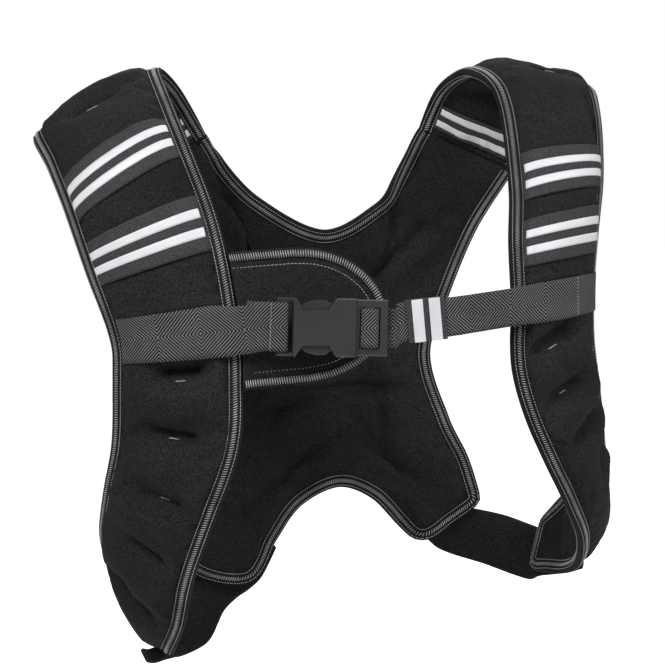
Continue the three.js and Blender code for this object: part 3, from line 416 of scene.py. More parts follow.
# %% A material's common parts
def new_material(name, rough, sheen=0.0, shine=0.5):
    """A material with its surface shader, the cloth map and the place on the object"""
    material = bpy.data.materials.new(name)
    material.use_nodes = True
    tree = material.node_tree
    surface = tree.nodes["Principled BSDF"]
    surface.inputs["Roughness"].default_value = rough
    surface.inputs["Specular IOR Level"].default_value = shine
    surface.inputs["Sheen Weight"].default_value = sheen
    surface.inputs["Sheen Roughness"].default_value = 0.45
    where = tree.nodes.new("ShaderNodeTexCoord")
    return material, tree, surface, where.outputs["UV"], where.outputs["Object"]


def place_group(tree, group, **values):
    """A node group in a material, its inputs given by name; returns its outputs"""
    node = tree.nodes.new("ShaderNodeGroup")
    node.node_tree = group
    for title, value in values.items():
        feed(tree, node.inputs[title], value)
    return node.outputs


def colour_by(tree, surface, share, dark, light):
    """Colours a surface between two faintly blue greys, by a socket"""
    mix = tree.nodes.new("ShaderNodeMix")
    mix.data_type = "RGBA"
    tree.links.new(share, mix.inputs["Factor"])
    for socket, value in ((mix.inputs[6], dark), (mix.inputs[7], light)):
        socket.default_value = (value, value, value * 1.04, 1)
    tree.links.new(mix.outputs[2], surface.inputs["Base Color"])


def add_bump(tree, surface, height, distance, strength):
    """Fine relief on a surface, `distance` metres deep"""
    bump = tree.nodes.new("ShaderNodeBump")
    bump.inputs["Distance"].default_value = distance
    bump.inputs["Strength"].default_value = strength
    tree.links.new(height, bump.inputs["Height"])
    tree.links.new(bump.outputs["Normal"], surface.inputs["Normal"])


# %% [markdown]
# ## The finishes
# The pads are jersey over foam: nearly black and matt, with a faint diagonal rib and grey
# fibre specks that show where light falls. The edge tape and the sewn bands are a harder,
# greyer weave. The chest webbing is a herringbone, whose ribs turn back at its middle and
# again every few centimetres, so that they draw long diamonds.

# %% Jersey, tape and thread
jersey, tree, surface, cloth, place = new_material("black_jersey", 0.8, 0.02, 0.14)
rib = place_group(tree, ribs, Cloth=cloth, Pitch=0.0011, Angle=math.radians(38), Waver=0.5)
speck = place_group(tree, specks, Place=place, Scale=1300.0, Patches=14.0)
lit = maths(tree, "MULTIPLY_ADD", speck["Specks"], 0.75,
            maths(tree, "MULTIPLY", rib["Height"], 0.22))
worn = maths(tree, "MULTIPLY", lit, maths(tree, "MULTIPLY_ADD", speck["Patch"], 0.9, 0.35))
colour_by(tree, surface, worn, 0.002, 0.054)
add_bump(tree, surface, maths(tree, "ADD", rib["Height"], speck["Specks"]), 0.00014, 0.6)

edge_tape, tree, surface, cloth, place = new_material("edge_tape", 0.75, 0.02, 0.15)
rib = place_group(tree, ribs, Cloth=cloth, Pitch=0.0008, Angle=0.0, Waver=0.3)
speck = place_group(tree, specks, Place=place, Scale=1800.0, Patches=30.0)
colour_by(tree, surface, maths(tree, "MULTIPLY", rib["Height"], speck["Patch"]), 0.002, 0.05)
add_bump(tree, surface, rib["Height"], 0.00012, 0.6)

thread, tree, surface, cloth, place = new_material("grey_thread", 0.5, 0.05, 0.3)
speck = place_group(tree, specks, Place=place, Scale=600.0, Patches=60.0)
colour_by(tree, surface, speck["Patch"], 0.14, 0.72)

woven, tree, surface, cloth, place = new_material("woven_tape", 0.75, 0.02, 0.15)
rib = place_group(tree, ribs, Cloth=cloth, Pitch=0.0010, Angle=0.0, Waver=0.35)
speck = place_group(tree, specks, Place=place, Scale=1600.0, Patches=40.0)
lit = maths(tree, "MULTIPLY_ADD", speck["Specks"], 0.5,
            maths(tree, "MULTIPLY", rib["Broken"], 0.6))
colour_by(tree, surface, lit, 0.010, 0.12)
add_bump(tree, surface, maths(tree, "ADD", rib["Height"], speck["Specks"]), 0.00012, 0.6)

film, tree, surface, cloth, place = new_material("pale_film", 0.42)
speck = place_group(tree, specks, Place=place, Scale=1400.0, Patches=35.0)
colour_by(tree, surface, speck["Patch"], 0.72, 0.93)
add_bump(tree, surface, speck["Specks"], 0.00004, 0.4)

# %% Herringbone webbing
# the ribs turn back every 28 mm along the webbing
turn_back = 0.028
webbing, tree, surface, cloth, place = new_material("herringbone_webbing", 0.6, 0.02, 0.2)
parts = tree.nodes.new("ShaderNodeSeparateXYZ")
tree.links.new(cloth, parts.inputs["Vector"])
folded = maths(tree, "PINGPONG", parts.outputs["Y"], turn_back)
mirrored = maths(tree, "ABSOLUTE", parts.outputs["X"])
joined = tree.nodes.new("ShaderNodeCombineXYZ")
tree.links.new(maths(tree, "ADD", mirrored, folded), joined.inputs["X"])
tree.links.new(maths(tree, "SUBTRACT", mirrored, folded), joined.inputs["Y"])
rib = place_group(tree, ribs, Cloth=joined.outputs["Vector"], Pitch=0.0023, Angle=0.0, Waver=0.16)
speck = place_group(tree, specks, Place=place, Scale=1500.0, Patches=30.0)
ridge = maths(tree, "MULTIPLY", maths(tree, "POWER", rib["Height"], 1.8),
              maths(tree, "MULTIPLY_ADD", rib["Broken"], 0.5, 0.5))
lit = maths(tree, "MULTIPLY", ridge, maths(tree, "MULTIPLY_ADD", speck["Patch"], 0.8, 0.6))
colour_by(tree, surface, lit, 0.001, 0.25)
add_bump(tree, surface, rib["Broken"], 0.0004, 1.0)

# %% Buckle plastic
plastic, tree, surface, cloth, place = new_material("satin_black_plastic", 0.36)
speck = place_group(tree, specks, Place=place, Scale=500.0, Patches=25.0)
colour_by(tree, surface, speck["Patch"], 0.028, 0.052)
tree.links.new(maths(tree, "MULTIPLY_ADD", speck["Patch"], 0.2, 0.22), surface.inputs["Roughness"])
surface.inputs["Coat Weight"].default_value = 0.35
surface.inputs["Coat Roughness"].default_value = 0.18
add_bump(tree, surface, speck["Specks"], 0.00006, 0.35)
print("materials", [m.name for m in bpy.data.materials])

# %% [markdown]
# ## The filled pads
# A filled strap is two layers of cloth sewn together at the rim, blown out by its filling and
# caught down by short tacks. Cloth simulation makes just that: the rim, the tacks and the
# places under the tapes and webbing are held, a pressure pushes the rest out, and the cloth is
# a little larger than its place, so it puckers. The simulation moves no point further than a
# cap, so the pad keeps the measured size. The tacks' hollows are pressed in once more after it,
# because the pressure fills them.

# %% Blow up a sewn pad
def puff(piece, held, pressure, spare, most, frames=20):
    """Cloth simulation of a closed pad, written to the mesh; moves are capped at `most` metres"""
    start = np.array([v.co for v in piece.data.vertices])
    group = piece.vertex_groups.new(name="held")
    for level in np.unique(held[held > 0]):
        group.add([int(i) for i in np.nonzero(held == level)[0]], float(level), "REPLACE")
    cloth = piece.modifiers.new("puff", "CLOTH")
    settings = cloth.settings
    settings.quality = 6
    settings.mass = 0.25
    settings.tension_stiffness = settings.compression_stiffness = 12
    settings.shear_stiffness = 6
    settings.bending_stiffness = 0.4
    settings.use_pressure = True
    settings.uniform_pressure_force = pressure
    settings.shrink_min = -spare
    settings.vertex_group_mass = "held"
    settings.effector_weights.gravity = 0
    cloth.collision_settings.use_collision = False
    cloth.point_cache.frame_start, cloth.point_cache.frame_end = 1, frames
    for moment in range(1, frames + 1):
        bpy.context.scene.frame_set(moment)
    ready = piece.evaluated_get(bpy.context.evaluated_depsgraph_get())
    blown = np.array([v.co for v in ready.data.vertices])
    bpy.context.scene.frame_set(1)
    piece.modifiers.remove(cloth)
    piece.vertex_groups.remove(group)
    move = blown - start
    size = np.linalg.norm(move, axis=1, keepdims=True)
    move *= np.minimum(1, most / np.maximum(size, 1e-9)) * (1 - held[:, None])
    piece.data.vertices.foreach_set("co", (start + move).astype(np.float32).ravel())
    piece.data.update()
    furthest = float(np.linalg.norm(move, axis=1).max())
    print(piece.name, "puffed by up to", round(furthest * 1000, 1), "mm")
    return start + move


def dimple(gap, *hollows):
    """A smooth hollow: the sum of (depth, reach) parts that fade with the gap"""
    return sum(depth * np.exp(-(gap / reach) ** 2) for depth, reach in hollows)


# %% Where a tape or webbing crosses a strap
def nearest_share(net, point):
    """The share along a net's rows of its point nearest to a place"""
    gap = np.linalg.norm(net - np.array(point), axis=-1)
    column = np.unravel_index(gap.argmin(), gap.shape)[1]
    line = through(net[:, column], np.linspace(0, len(net) - 1, 12 * len(net)))
    return np.linalg.norm(line - np.array(point), axis=1).argmin() / (len(line) - 1)


strap_rows, strap_columns = 221, 41
# the rows of each webbing's solid, and its height in metres
webbing_sizes = {"right": (17, 0.031), "left": (25, 0.025)}
strap_nets = {side: [finer(net, strap_rows, strap_columns) for net in skins]
              for side, skins in strap_skins.items()}
tape_spans, tape_leans, webbing_skins, webbing_spans = {}, {}, {}, {}
for side, (outer, inner) in strap_nets.items():
    for level in ("upper", "lower", "inner"):
        name = f"{level}_tape_{side}"
        net = outer if level != "inner" else inner
        tape = read_skins(name, 3, 9, net[0, 0])[0]
        tape_spans[name] = [nearest_share(net, tape[row, 4]) for row in (0, 2)]
        tape_leans[name] = (nearest_share(net, tape[1, 7]) - nearest_share(net, tape[1, 1])) / 2
    rows, height = webbing_sizes[side]
    near = outer[strap_rows // 2, -1] + [0, -0.01, 0.01]
    webbing_skins[side] = read_skins(f"chest_webbing_{side}", rows, 3, near)
    middle = nearest_share(outer, webbing_skins[side][1][2, 1])
    half = height / 2 / distances(outer[:, strap_columns // 2])[-1]
    webbing_spans[side] = (middle - half, middle + half)
print("tapes", {name: np.round(span, 3) for name, span in tape_spans.items()})
print("webbing", {side: np.round(span, 3) for side, span in webbing_spans.items()})

# %% Tacks: where the two layers are caught together
# share along the strap, middle and half length across it in metres, and lean
strap_tacks = {
    "right": [(0.2080, 0.0020, 0.0115, 0.0), (0.5640, -0.0065, 0.0100, 0.0),
              (0.6356, -0.0020, 0.0120, -0.2), (0.7120, -0.0060, 0.0115, -0.2),
              (0.7800, -0.0070, 0.0105, -0.25), (0.8640, 0.0010, 0.0130, -0.5)],
    "left": [(0.1877, 0.0020, 0.0085, 0.0), (0.5660, -0.0130, 0.0120, -0.35),
             (0.6290, -0.0060, 0.0110, -0.2), (0.6880, 0.0010, 0.0105, -0.3),
             (0.7400, 0.0180, 0.0070, -0.5), (0.7900, 0.0250, 0.0050, -0.6)],
}
# (depth, reach) of a tack's hollow: as shares of the free thickness, and after it in metres
tack_hollows = ((0.5, 0.009), (0.5, 0.0035))
tack_dents = ((0.0030, 0.0085), (0.0022, 0.0032))
tack_grip = 0.0016  # cloth nearer to a tack than this doesn't move
sewn_strap, sewn_back = 0.0045, 0.004  # thickness that sewing never goes below
tape_grip, webbing_grip = 0.75, 1.0  # how firmly tapes and webbing hold the cloth under them


def tack_gaps(net, tacks):
    """Distance of each point of a strap's net from its nearest tack"""
    along, across = places_on(net)
    best = np.full(along.shape, np.inf)
    for share, middle, reach, lean in tacks:
        beyond = np.maximum(np.abs(across - middle) - reach, 0)
        past = (along - share * along[-1, 0] - lean * (across - middle)) / math.hypot(1, lean)
        best = np.minimum(best, np.hypot(beyond, past))
    return best


def pull_tacks(outer, inner, tacks):
    """Nets with their layers pulled together at the tacks, and how firmly each point is held"""
    facing = unit(outer - inner)
    gap = tack_gaps(outer, tacks)
    held = np.where(gap < tack_grip, 1.0, 0.0)
    pull = dimple(gap, *tack_hollows)[..., None]
    spare = np.maximum(np.linalg.norm(outer - inner, axis=-1) - sewn_strap, 0)[..., None]
    outer_share, inner_share = 0.75, 0.2  # how the two layers take up the pull
    outer = outer - facing * spare * outer_share * pull
    inner = inner + facing * spare * inner_share * pull
    return outer, inner, held


def hold_bands(shape, spans, firm):
    """How firmly the rows under tapes and webbing are held"""
    shares = np.linspace(0, 1, shape[0])[:, None]
    held = np.zeros(shape)
    for first, last in spans:
        held = np.maximum(held, firm * ((shares > first) & (shares < last)))
    return held


# %% Make the strap pads
pads = {}
for side, (outer, inner) in strap_nets.items():
    outer, inner, tacked = pull_tacks(outer, inner, strap_tacks[side])
    tapes = [tape_spans[f"{level}_tape_{side}"] for level in ("upper", "lower")]
    held_out = np.maximum(tacked, hold_bands(tacked.shape, [webbing_spans[side]], webbing_grip))
    held_out = np.maximum(held_out, hold_bands(tacked.shape, tapes, tape_grip))
    held_in = tacked.copy()
    for held in (held_out, held_in):
        held[[0, -1]] = held[:, [0, -1]] = 1
    piece = skins_to_piece(f"strap_pad_{side}", outer, inner, jersey, "neoprene",
                           [f"shoulder_strap_{side}"])
    held = np.concatenate([held_out.ravel(), held_in.ravel()])
    blown = puff(piece, held, pressure=4, spare=0.03, most=0.005)
    outer, inner = blown.reshape(2, strap_rows, strap_columns, 3)
    gap = tack_gaps(strap_nets[side][0], strap_tacks[side])[..., None]
    outer = outer - unit(outer - inner) * dimple(gap, *tack_dents)
    points = np.concatenate([outer.reshape(-1, 3), inner.reshape(-1, 3)])
    piece.data.vertices.foreach_set("co", points.astype(np.float32).ravel())
    piece.data.update()
    pads[side] = (outer, inner)

# %% [markdown]
# ## The back panel
# The back is one quilted pad. Its long sewn grooves catch the two layers together, and the
# filling swells between them, so it is blown up in the same way as the straps, with the rim
# and the grooves held.

# %% Grooves and back pad
# each groove is a line of places across (X) and up (Z), in metres
back_grooves = [
    [(-0.0354, -0.2171), (-0.0154, -0.2114), (0.0154, -0.2084), (0.0554, -0.2099)],
    [(-0.0585, -0.2923), (-0.0308, -0.2665), (-0.0031, -0.2475), (0.0200, -0.2456),
     (0.0447, -0.2578), (0.0693, -0.2783)],
    [(0.0462, -0.1259), (0.0662, -0.1145), (0.0862, -0.0898)],
    [(-0.0308, -0.1259), (-0.0508, -0.1088), (-0.0693, -0.0822)],
]
groove_reach, groove_grip = 0.005, 0.0014


def gap_to_line(places, line):
    """Distance of flat places from a line of stops"""
    best = np.full(places.shape[:-1], np.inf)
    for start, end in zip(np.array(line[:-1]), np.array(line[1:])):
        run = end - start
        share = np.clip(((places - start) @ run) / (run @ run), 0, 1)
        best = np.minimum(best, np.linalg.norm(places - start - share[..., None] * run, axis=-1))
    return best


back_rows, back_columns = 141, 101
back_nets = [finer(net, back_rows, back_columns) for net in back_skins]
outer, inner = back_nets
facing = unit(outer - inner)
gap = np.full(outer.shape[:2], np.inf)
for line in back_grooves:
    smooth_line = through(np.array(line), np.linspace(0, len(line) - 1, 24))
    gap = np.minimum(gap, gap_to_line(outer[..., [0, 2]], smooth_line))
spare = np.maximum(np.linalg.norm(outer - inner, axis=-1) - sewn_back, 0)[..., None]
pull = dimple(gap, (1.0, groove_reach))[..., None]
outer, inner = outer - facing * spare * 0.3 * pull, inner + facing * spare * 0.6 * pull
held = np.where(gap < groove_grip, 1.0, 0.0)
held[[0, -1]] = held[:, [0, -1]] = 1
piece = skins_to_piece("back_pad", outer, inner, jersey, "neoprene", ["back_panel"])
held_both = np.concatenate([held.ravel(), held.ravel()])
blown = puff(piece, held_both, pressure=3, spare=0.02, most=0.004)
outer, inner = blown.reshape(2, back_rows, back_columns, 3)
pads["back"] = (outer, inner)

# %% [markdown]
# ## Edge tape and its stitches
# A tape folded over each rim holds the layers together. It is a band swept along the rim with
# a round outer edge. Three rows of stitches run along both of its faces: a line beside the
# pad, a slanted rope in the middle and a line near the outer edge. The stitches are real
# little threads, because at this distance they catch the light one by one.

# %% Many short threads as one mesh
thread_form = np.array([0.6, 1.0, 0.6])  # shares of the radius at start, middle and end


def threads(name, starts, ends, ups, radius, arch):
    """Short bent threads from starts to ends, raised by an arch in their middle"""
    middles = (starts + ends) / 2 + ups * arch
    line = np.stack([starts, middles, ends], 1)
    run = unit(ends - starts)[:, None]
    up = np.broadcast_to(ups[:, None], line.shape)
    side = unit(np.cross(run, up))
    thin = thread_form[None, :, None] * radius
    ring = np.stack([line + side * thin, line + up * thin, line - side * thin, line - up * thin], 2)
    count, stops, corners = ring.shape[:3]
    index = np.arange(count * stops * corners).reshape(count, stops, corners)
    beside = np.roll(index, -1, axis=2)
    faces = np.stack([index[:, :-1], index[:, 1:], beside[:, 1:], beside[:, :-1]], -1)
    caps = np.concatenate([index[:, 0], index[:, -1, ::-1]])
    faces = np.concatenate([faces.reshape(-1, 4), caps])
    piece = mesh_piece(name, ring.reshape(-1, 3), faces)
    finish_piece(piece, thread, [])


# %% Tape along a rim
def three_sides(rows, columns):
    """The path round a net's last column, last row and first column.
    Each side is (rows, columns, step): index lists and an index step inwards."""
    down, over = np.arange(rows), np.arange(columns)
    return [(down[:-1], np.full(rows - 1, columns - 1), (0, -2)),
            (np.full(columns, rows - 1), over[::-1], (-2, 0)),
            (down[::-1][1:], np.zeros(rows - 1, int), (0, 2))]


def edge_line(path, outer, inner):
    """Rim points, their facing and the way off the pad, along a path of net sides"""
    points, facings, aways = [], [], []
    for rows, columns, (row_in, column_in) in path:
        rim = (outer[rows, columns] + inner[rows, columns]) / 2
        inside = (outer[rows + row_in, columns + column_in]
                  + inner[rows + row_in, columns + column_in]) / 2
        points.append(rim)
        facings.append(unit(outer[rows, columns] - inner[rows, columns]))
        aways.append(rim - inside)
    return np.concatenate(points), np.concatenate(facings), np.concatenate(aways)


def spread(values, along, reach):
    """Each value averaged over its neighbours within a reach along a line"""
    weight = np.maximum(1 - np.abs(along[:, None] - along[None]) / reach, 0)
    return weight @ values / weight.sum(1, keepdims=True)


def rim_frames(points, facings, aways, step, corner=0.006):
    """Even frames along a rim: place, facing, way off the pad and distance"""
    keep = np.concatenate([[True], np.linalg.norm(np.diff(points, axis=0), axis=1) > 1e-5])
    points, facings, aways = points[keep], facings[keep], aways[keep]
    along = distances(points)
    evenly = np.linspace(0, along[-1], int(along[-1] / step) + 1)
    pick = lambda values: np.stack([np.interp(evenly, along, values[:, k]) for k in range(3)], 1)
    points, facings, aways = pick(points), unit(pick(facings)), pick(aways)
    run = unit(np.gradient(points, axis=0))
    aways = aways - run * (aways * run).sum(1, keepdims=True)
    aways = aways - facings * (aways * facings).sum(1, keepdims=True)
    aways = unit(spread(unit(aways), evenly, corner))
    facings = unit(spread(facings, evenly, corner))
    return points, facings, aways, evenly


# the folded tape's section in millimetres: off the rim, and towards the pad's outer face
half_fold = [(-1.2, 2.7), (0.6, 3.25), (3.2, 3.35), (6.0, 3.1), (7.8, 2.4), (8.9, 1.3)]
tape_fold = np.array([*half_fold, (9.25, 0), *[(off, -up) for off, up in half_fold[::-1]]]) / 1000


def add_edge_tape(name, frames, replaced, scale=1.0):
    """The folded tape along some rim frames"""
    points, facings, aways, along = frames
    fold = tape_fold * scale
    off, up = fold[None, :, :1], fold[None, :, 1:]
    ring = points[:, None] + aways[:, None] * off + facings[:, None] * up
    rows, corners = ring.shape[:2]
    index = np.arange(rows * corners).reshape(rows, corners)
    beside = np.roll(index, -1, axis=1)
    faces = np.stack([index[:-1], index[1:], beside[1:], beside[:-1]], -1).reshape(-1, 4)
    mesh_faces = [tuple(f) for f in faces] + [tuple(index[0]), tuple(index[-1, ::-1])]
    piece = mesh_piece(name, ring.reshape(-1, 3), mesh_faces)
    layer = piece.data.uv_layers.new(name="cloth")
    wrap = distances(fold)
    place = np.stack([np.broadcast_to(along[:, None], (rows, corners)),
                      np.broadcast_to(wrap[None], (rows, corners))], -1).reshape(-1, 2)
    corner = np.zeros(len(piece.data.loops), int)
    piece.data.loops.foreach_get("vertex_index", corner)
    layer.data.foreach_set("uv", place[corner].astype(np.float32).ravel())
    tape = bmesh.new()
    tape.from_mesh(piece.data)
    bmesh.ops.recalc_face_normals(tape, faces=tape.faces)
    tape.to_mesh(piece.data)
    tape.free()
    finish_piece(piece, edge_tape, replaced)


def add_stitches(name, frames, rows, scale=1.0):
    """Rows of stitches on both faces of a tape. Each row is (from off, to off, pitch, length,
    radius) in millimetres, off being the distance from the rim."""
    points, facings, aways, along = frames
    starts, ends, ups, sizes = [], [], [], []
    face_off, face_up = tape_fold[:len(half_fold) + 1].T * 1000
    lift, arch = 0.12, 0.00025
    pick = lambda values, at: np.stack([np.interp(at, along, values[:, k]) for k in range(3)], 1)
    for side in (1, -1):
        for off_from, off_to, pitch, length, radius in rows:
            at = np.arange(pitch, along[-1] * 1000 - length, pitch) / 1000
            ends_at = at + length / 1000
            for places, off, chosen in ((at, off_from, starts), (ends_at, off_to, ends)):
                height = np.interp(off, face_off, face_up) + lift
                chosen.append(pick(points, places) + pick(aways, places) * off * scale / 1000
                              + side * pick(facings, places) * height * scale / 1000)
            ups.append(side * unit(pick(facings, at)))
            sizes.append(np.full(len(at), radius / 1000))
    starts, ends, ups, sizes = (np.concatenate(part) for part in (starts, ends, ups, sizes))
    threads(name, starts, ends, ups, sizes[:, None, None], arch)


rim_step = 0.0025
wide_rows = [(0.6, 0.6, 2.2, 1.7, 0.30), (2.9, 5.7, 1.6, 1.1, 0.36), (7.6, 7.6, 2.2, 1.7, 0.28)]
for side in ("left", "right"):
    path = three_sides(strap_rows, strap_columns)
    frames = rim_frames(*edge_line(path, *strap_nets[side]), step=rim_step)
    add_edge_tape(f"strap_tape_{side}", frames, [f"strap_binding_{side}"])
    add_stitches(f"strap_stitches_{side}", frames, wide_rows)

# the strap seams take the first and last 6 of the back's 28 rows, so the neck's tape leaves them
down, over = np.arange(back_rows), np.arange(back_columns)
seam = round((back_rows - 1) * 6 / (back_size[0] - 1))
neck_path = [(down[seam:-seam], np.full(back_rows - 2 * seam, back_columns - 1), (0, -2))]
hem_path = [(np.full(back_columns, back_rows - 1), over[::-1], (-2, 0)),
            (down[::-1][1:-1], np.zeros(back_rows - 2, int), (0, 2)),
            (np.zeros(back_columns, int), over, (2, 0))]
for name, path in (("neck", neck_path), ("armhole_and_hem", hem_path)):
    frames = rim_frames(*edge_line(path, *back_nets), step=rim_step)
    add_edge_tape(f"{name}_tape", frames, [f"{name}_binding"])
    add_stitches(f"{name}_stitches", frames, wide_rows)

# %% Thread bars in the tacks
# the six bars of a tack lie between these places across it, each from one end to the other
bar_places = np.linspace(-0.0028, 0.0028, 6)
bar_ends = ((-0.0009, -0.0003), (0.0009, 0.0003))  # across and along, in metres
bar_lift, bar_radius, bar_arch = 0.0004, 0.00026, 0.0002
for side in ("left", "right"):
    outer, inner = pads[side]
    along, across = places_on(strap_nets[side][0])
    length = along[-1, 0]
    starts, ends, ups = [], [], []
    for share, middle, reach, lean in strap_tacks[side]:
        row = int(round(share * (strap_rows - 1)))
        for slot in bar_places:
            for (step_across, step_along), stops in zip(bar_ends, (starts, ends)):
                place = middle + slot + step_across
                v = np.interp(place, across[row], np.linspace(0, 1, strap_columns))
                u = share + (lean * (slot + step_across) + step_along) / length
                up = unit(on_net(outer - inner, u, v))
                stops.append(on_net(outer, u, v) + up * bar_lift)
                if stops is starts:
                    ups.append(up)
    threads(f"tack_threads_{side}", np.array(starts), np.array(ends), np.array(ups),
            bar_radius, bar_arch)

# %% [markdown]
# ## Reflective tapes
# Each tape is a thin woven band sewn down at the straps' edges, with two strips of pale film
# on it. They lie on the blown-up pad, so they are laid on its net a little above the cloth.

# %% Lay a band on a pad
# how far each tape moves along its strap in metres: at its middle, and more at its arm edge
tape_nudges = {"upper_tape_right": (-0.0026, 0.0017), "lower_tape_right": (-0.0029, 0.0006),
               "upper_tape_left": (-0.0016, 0.0), "lower_tape_left": (-0.0013, 0.0)}
# how much of the strap's width the film leaves free at its neck edge and its arm edge
film_ends = {"left": (0.055, 0.012), "right": (0.075, 0.015)}
# height of each layer's two faces above the pad, and its rows and columns
woven_layer, film_layer = ((0.0016, 0.0004), 17, 61), ((0.0020, 0.0015), 5, 61)
# pitch and width of the film strips, and how much their tape ripples, in metres
front_film, inner_film = (0.0135, 0.0067, 0.00008), (0.012, 0.006, 0.0004)


def spread_net(net):
    """A skin with its finest creases evened out, as a stiffer layer over it would be"""
    soft = net.copy()
    for _ in range(2):
        soft[1:-1] = (soft[:-2] + 2 * soft[1:-1] + soft[2:]) / 4
    return soft


def lay_band(net, away, span, lift, rows, columns, lean, ripple, inset=(0.0, 0.0)):
    """A net that lies on a skin between two shares along it, lifted off by some metres"""
    v = np.linspace(inset[0], 1 - inset[1], columns)[None]
    u = np.linspace(*span, rows)[:, None] + lean * np.sin((v - 0.5) * math.pi)
    normals = on_net(away, u, v)
    wave = ripple * (np.sin(v * 41 + u * 300) * np.sin(v * 17 + 1.3))[..., None]
    return on_net(spread_net(net), u, v) + unit(normals) * (lift + wave)


for side in ("left", "right"):
    outer, inner = pads[side]
    length = distances(outer[:, strap_columns // 2])[-1]
    for level in ("upper", "lower", "inner"):
        name = f"{level}_tape_{side}"
        net, away = (outer, outer - inner) if level != "inner" else (inner, inner - outer)
        nudge, more = (value / length for value in tape_nudges.get(name, (0, 0)))
        first, last = (share + nudge for share in tape_spans[name])
        pitch, wide, ripple = inner_film if level == "inner" else front_film
        lean = tape_leans[name] + more
        lifts, rows, columns = woven_layer
        skins_to_piece(f"{name}_woven", *(
            lay_band(net, away, (first, last), lift, rows, columns, lean, ripple)
            for lift in lifts), woven, "tape", [name])
        lifts, rows, columns = film_layer
        for number, sign in ((1, -1), (2, 1)):
            middle = (first + last) / 2 + sign * pitch / 2 / length
            span = (middle - wide / 2 / length, middle + wide / 2 / length)
            skins_to_piece(f"{name}_film_{number}", *(
                lay_band(net, away, span, lift, rows, columns, lean, ripple, film_ends[side])
                for lift in lifts), film, "reflective", [f"{name}_stripe_{number}"])

# %% [markdown]
# ## Chest webbing, flap and side bands
# Webbing is one flat ribbon: over the strap, through the buckle and back on itself. It keeps
# the measured path, only with many more points. The flap behind the buckle is thin cloth with
# an edge tape of its own, and the side bands are soft neoprene with rolled edges.

# %% Webbing
webbing_nets = {}
for side, count in (("right", 240), ("left", 360)):
    outer, inner = (finer(net, count, 9) for net in webbing_skins[side])
    webbing_nets[side] = (outer, inner)
    skins_to_piece(f"webbing_{side}", outer, inner, webbing, "webbing", [f"chest_webbing_{side}"])

# %% Stitches across the webbing
def cross_stitches(name, outer, inner, place):
    """A line of stitches across a webbing where its middle first passes a place along X"""
    middle = outer[:, outer.shape[1] // 2, 0]
    row = int(np.argmax((middle - place) * np.sign(middle[-1] - middle[0]) > 0))
    share = row / (len(outer) - 1)
    front, back = (outer, inner) if outer[row, 4, 1] < inner[row, 4, 1] else (inner, outer)
    edges, space = np.linspace(0.03, 0.97, 13), 0.018  # shares of the webbing's height
    lift, radius, arch = 0.0003, 0.00028, 0.0002
    up = unit(on_net(front - back, share, edges[:-1]))
    starts = on_net(front, share, edges[:-1]) + up * lift
    ends = on_net(front, share, edges[1:] - space) + up * lift
    threads(name, starts, ends, up, radius, arch)


cross_stitches("webbing_stitches_right", *webbing_nets["right"], place=-0.0690)
cross_stitches("webbing_stitches_left", *webbing_nets["left"], place=0.1440)

# %% Side bands
def rolled(outer, inner, power=8, thinnest=0.02):
    """Skins that meet in a round edge along both long sides"""
    v = np.linspace(-1, 1, outer.shape[1])[None, :, None]
    full = np.maximum(1 - np.abs(v) ** power, thinnest) ** 0.5
    middle = (outer + inner) / 2
    return middle + (outer - middle) * full, middle + (inner - middle) * full


# where along the band its drawing in starts, how far along it that goes on, and how much
# of the width it takes; where the sag ends, and its depth in metres
draw_start, draw_run, draw_share = 0.4, 0.4, 0.72
sag_end, sag_depth = 0.75, 0.006


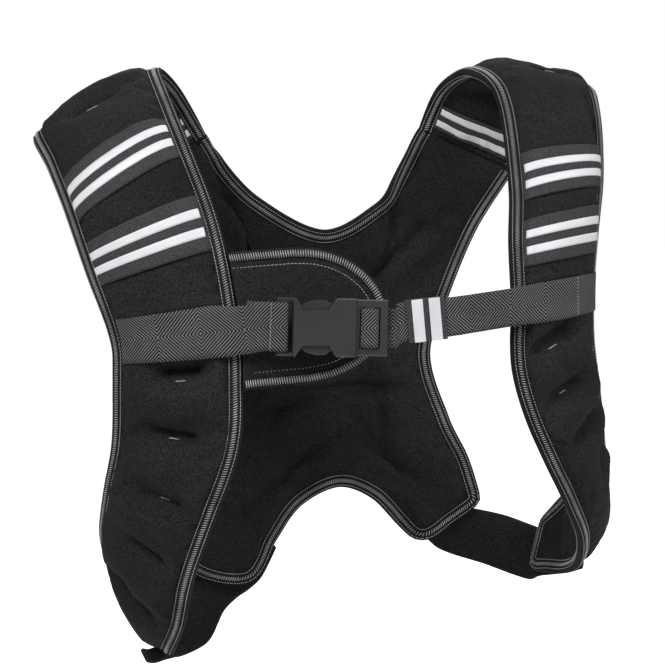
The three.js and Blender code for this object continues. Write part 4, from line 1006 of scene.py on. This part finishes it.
def gather(outer, inner):
    """Skins whose arm edge is drawn in towards the strap, and whose lower edge sags between"""
    if outer[-1, 0, 2] > outer[-1, -1, 2]:
        outer, inner = outer[:, ::-1], inner[:, ::-1]
    share = np.linspace(0, 1, len(outer))[:, None, None]
    high = np.linspace(0, 1, outer.shape[1])[None, :, None]
    width = outer[:, -1:] - outer[:, :1]
    drawn_in = np.clip((share - draw_start) / draw_run, 0, 1) * draw_share
    sag = np.sin(np.clip(share / sag_end, 0, 1) * math.pi) * sag_depth * (1 - high)
    move = -width * drawn_in * high - unit(width) * sag
    return outer + move, inner + move


for side, near in (("left", (0.10, 0.09, -0.29)), ("right", (-0.09, 0.09, -0.29))):
    skins = read_skins(f"side_band_{side}", 15, 3, near)
    outer, inner = rolled(*(finer(net, 90, 21) for net in skins))
    if side == "right":
        outer, inner = gather(outer, inner)
    piece = skins_to_piece(f"band_{side}", outer, inner, jersey, "neoprene", [f"side_band_{side}"])

# %% Flap behind the buckle
flap_rows = flap_columns = 61
flap_tape_scale = 0.66
flap_stitch_rows = [(0.2, 7.0, 1.6, 0.6, 0.42), (-6.5, -6.5, 2.6, 1.9, 0.32)]
guard_skins = read_skins("buckle_guard", 9, 11, (-0.09, -0.11, -0.10))
outer, inner = (finer(net, flap_rows, flap_columns) for net in guard_skins)
piece = skins_to_piece("flap", outer, inner, jersey, "neoprene", ["buckle_guard"])
path = three_sides(flap_rows, flap_columns)
frames = rim_frames(*edge_line(path, outer, inner), step=0.002)
add_edge_tape("flap_tape", frames, ["guard_binding"], scale=flap_tape_scale)
add_stitches("flap_stitches", frames, flap_stitch_rows, scale=flap_tape_scale)

# %% [markdown]
# ## Buckle and keeper
# The buckle's solids have the right shape already. They only lack the small rounds that every
# moulded edge has, and a bevel on the sharp edges gives those. The keeper is a sewn loop.

# %% Buckle and keeper
# the finish of each solid that shows as it is, and the width of its rounds in metres
shown_solids = {
    "buckle_socket": (plastic, 0.0011), "buckle_plug": (plastic, 0.0011),
    "keeper_loop": (woven, 0.00015),
    "keeper_stripe_1": (film, 0.00015), "keeper_stripe_2": (film, 0.00015),
}
for name, (finish, round_width) in shown_solids.items():
    piece = frame["nodes"][name]
    weld = piece.modifiers.new("weld", "WELD")
    weld.merge_threshold = 0.00001
    bevel = piece.modifiers.new("round", "BEVEL")
    bevel.width = round_width
    bevel.segments = 3
    bevel.limit_method = "ANGLE"
    bevel.angle_limit = math.radians(35)
    piece.data.materials.clear()
    piece.data.materials.append(finish)
print("rounded", list(shown_solids))
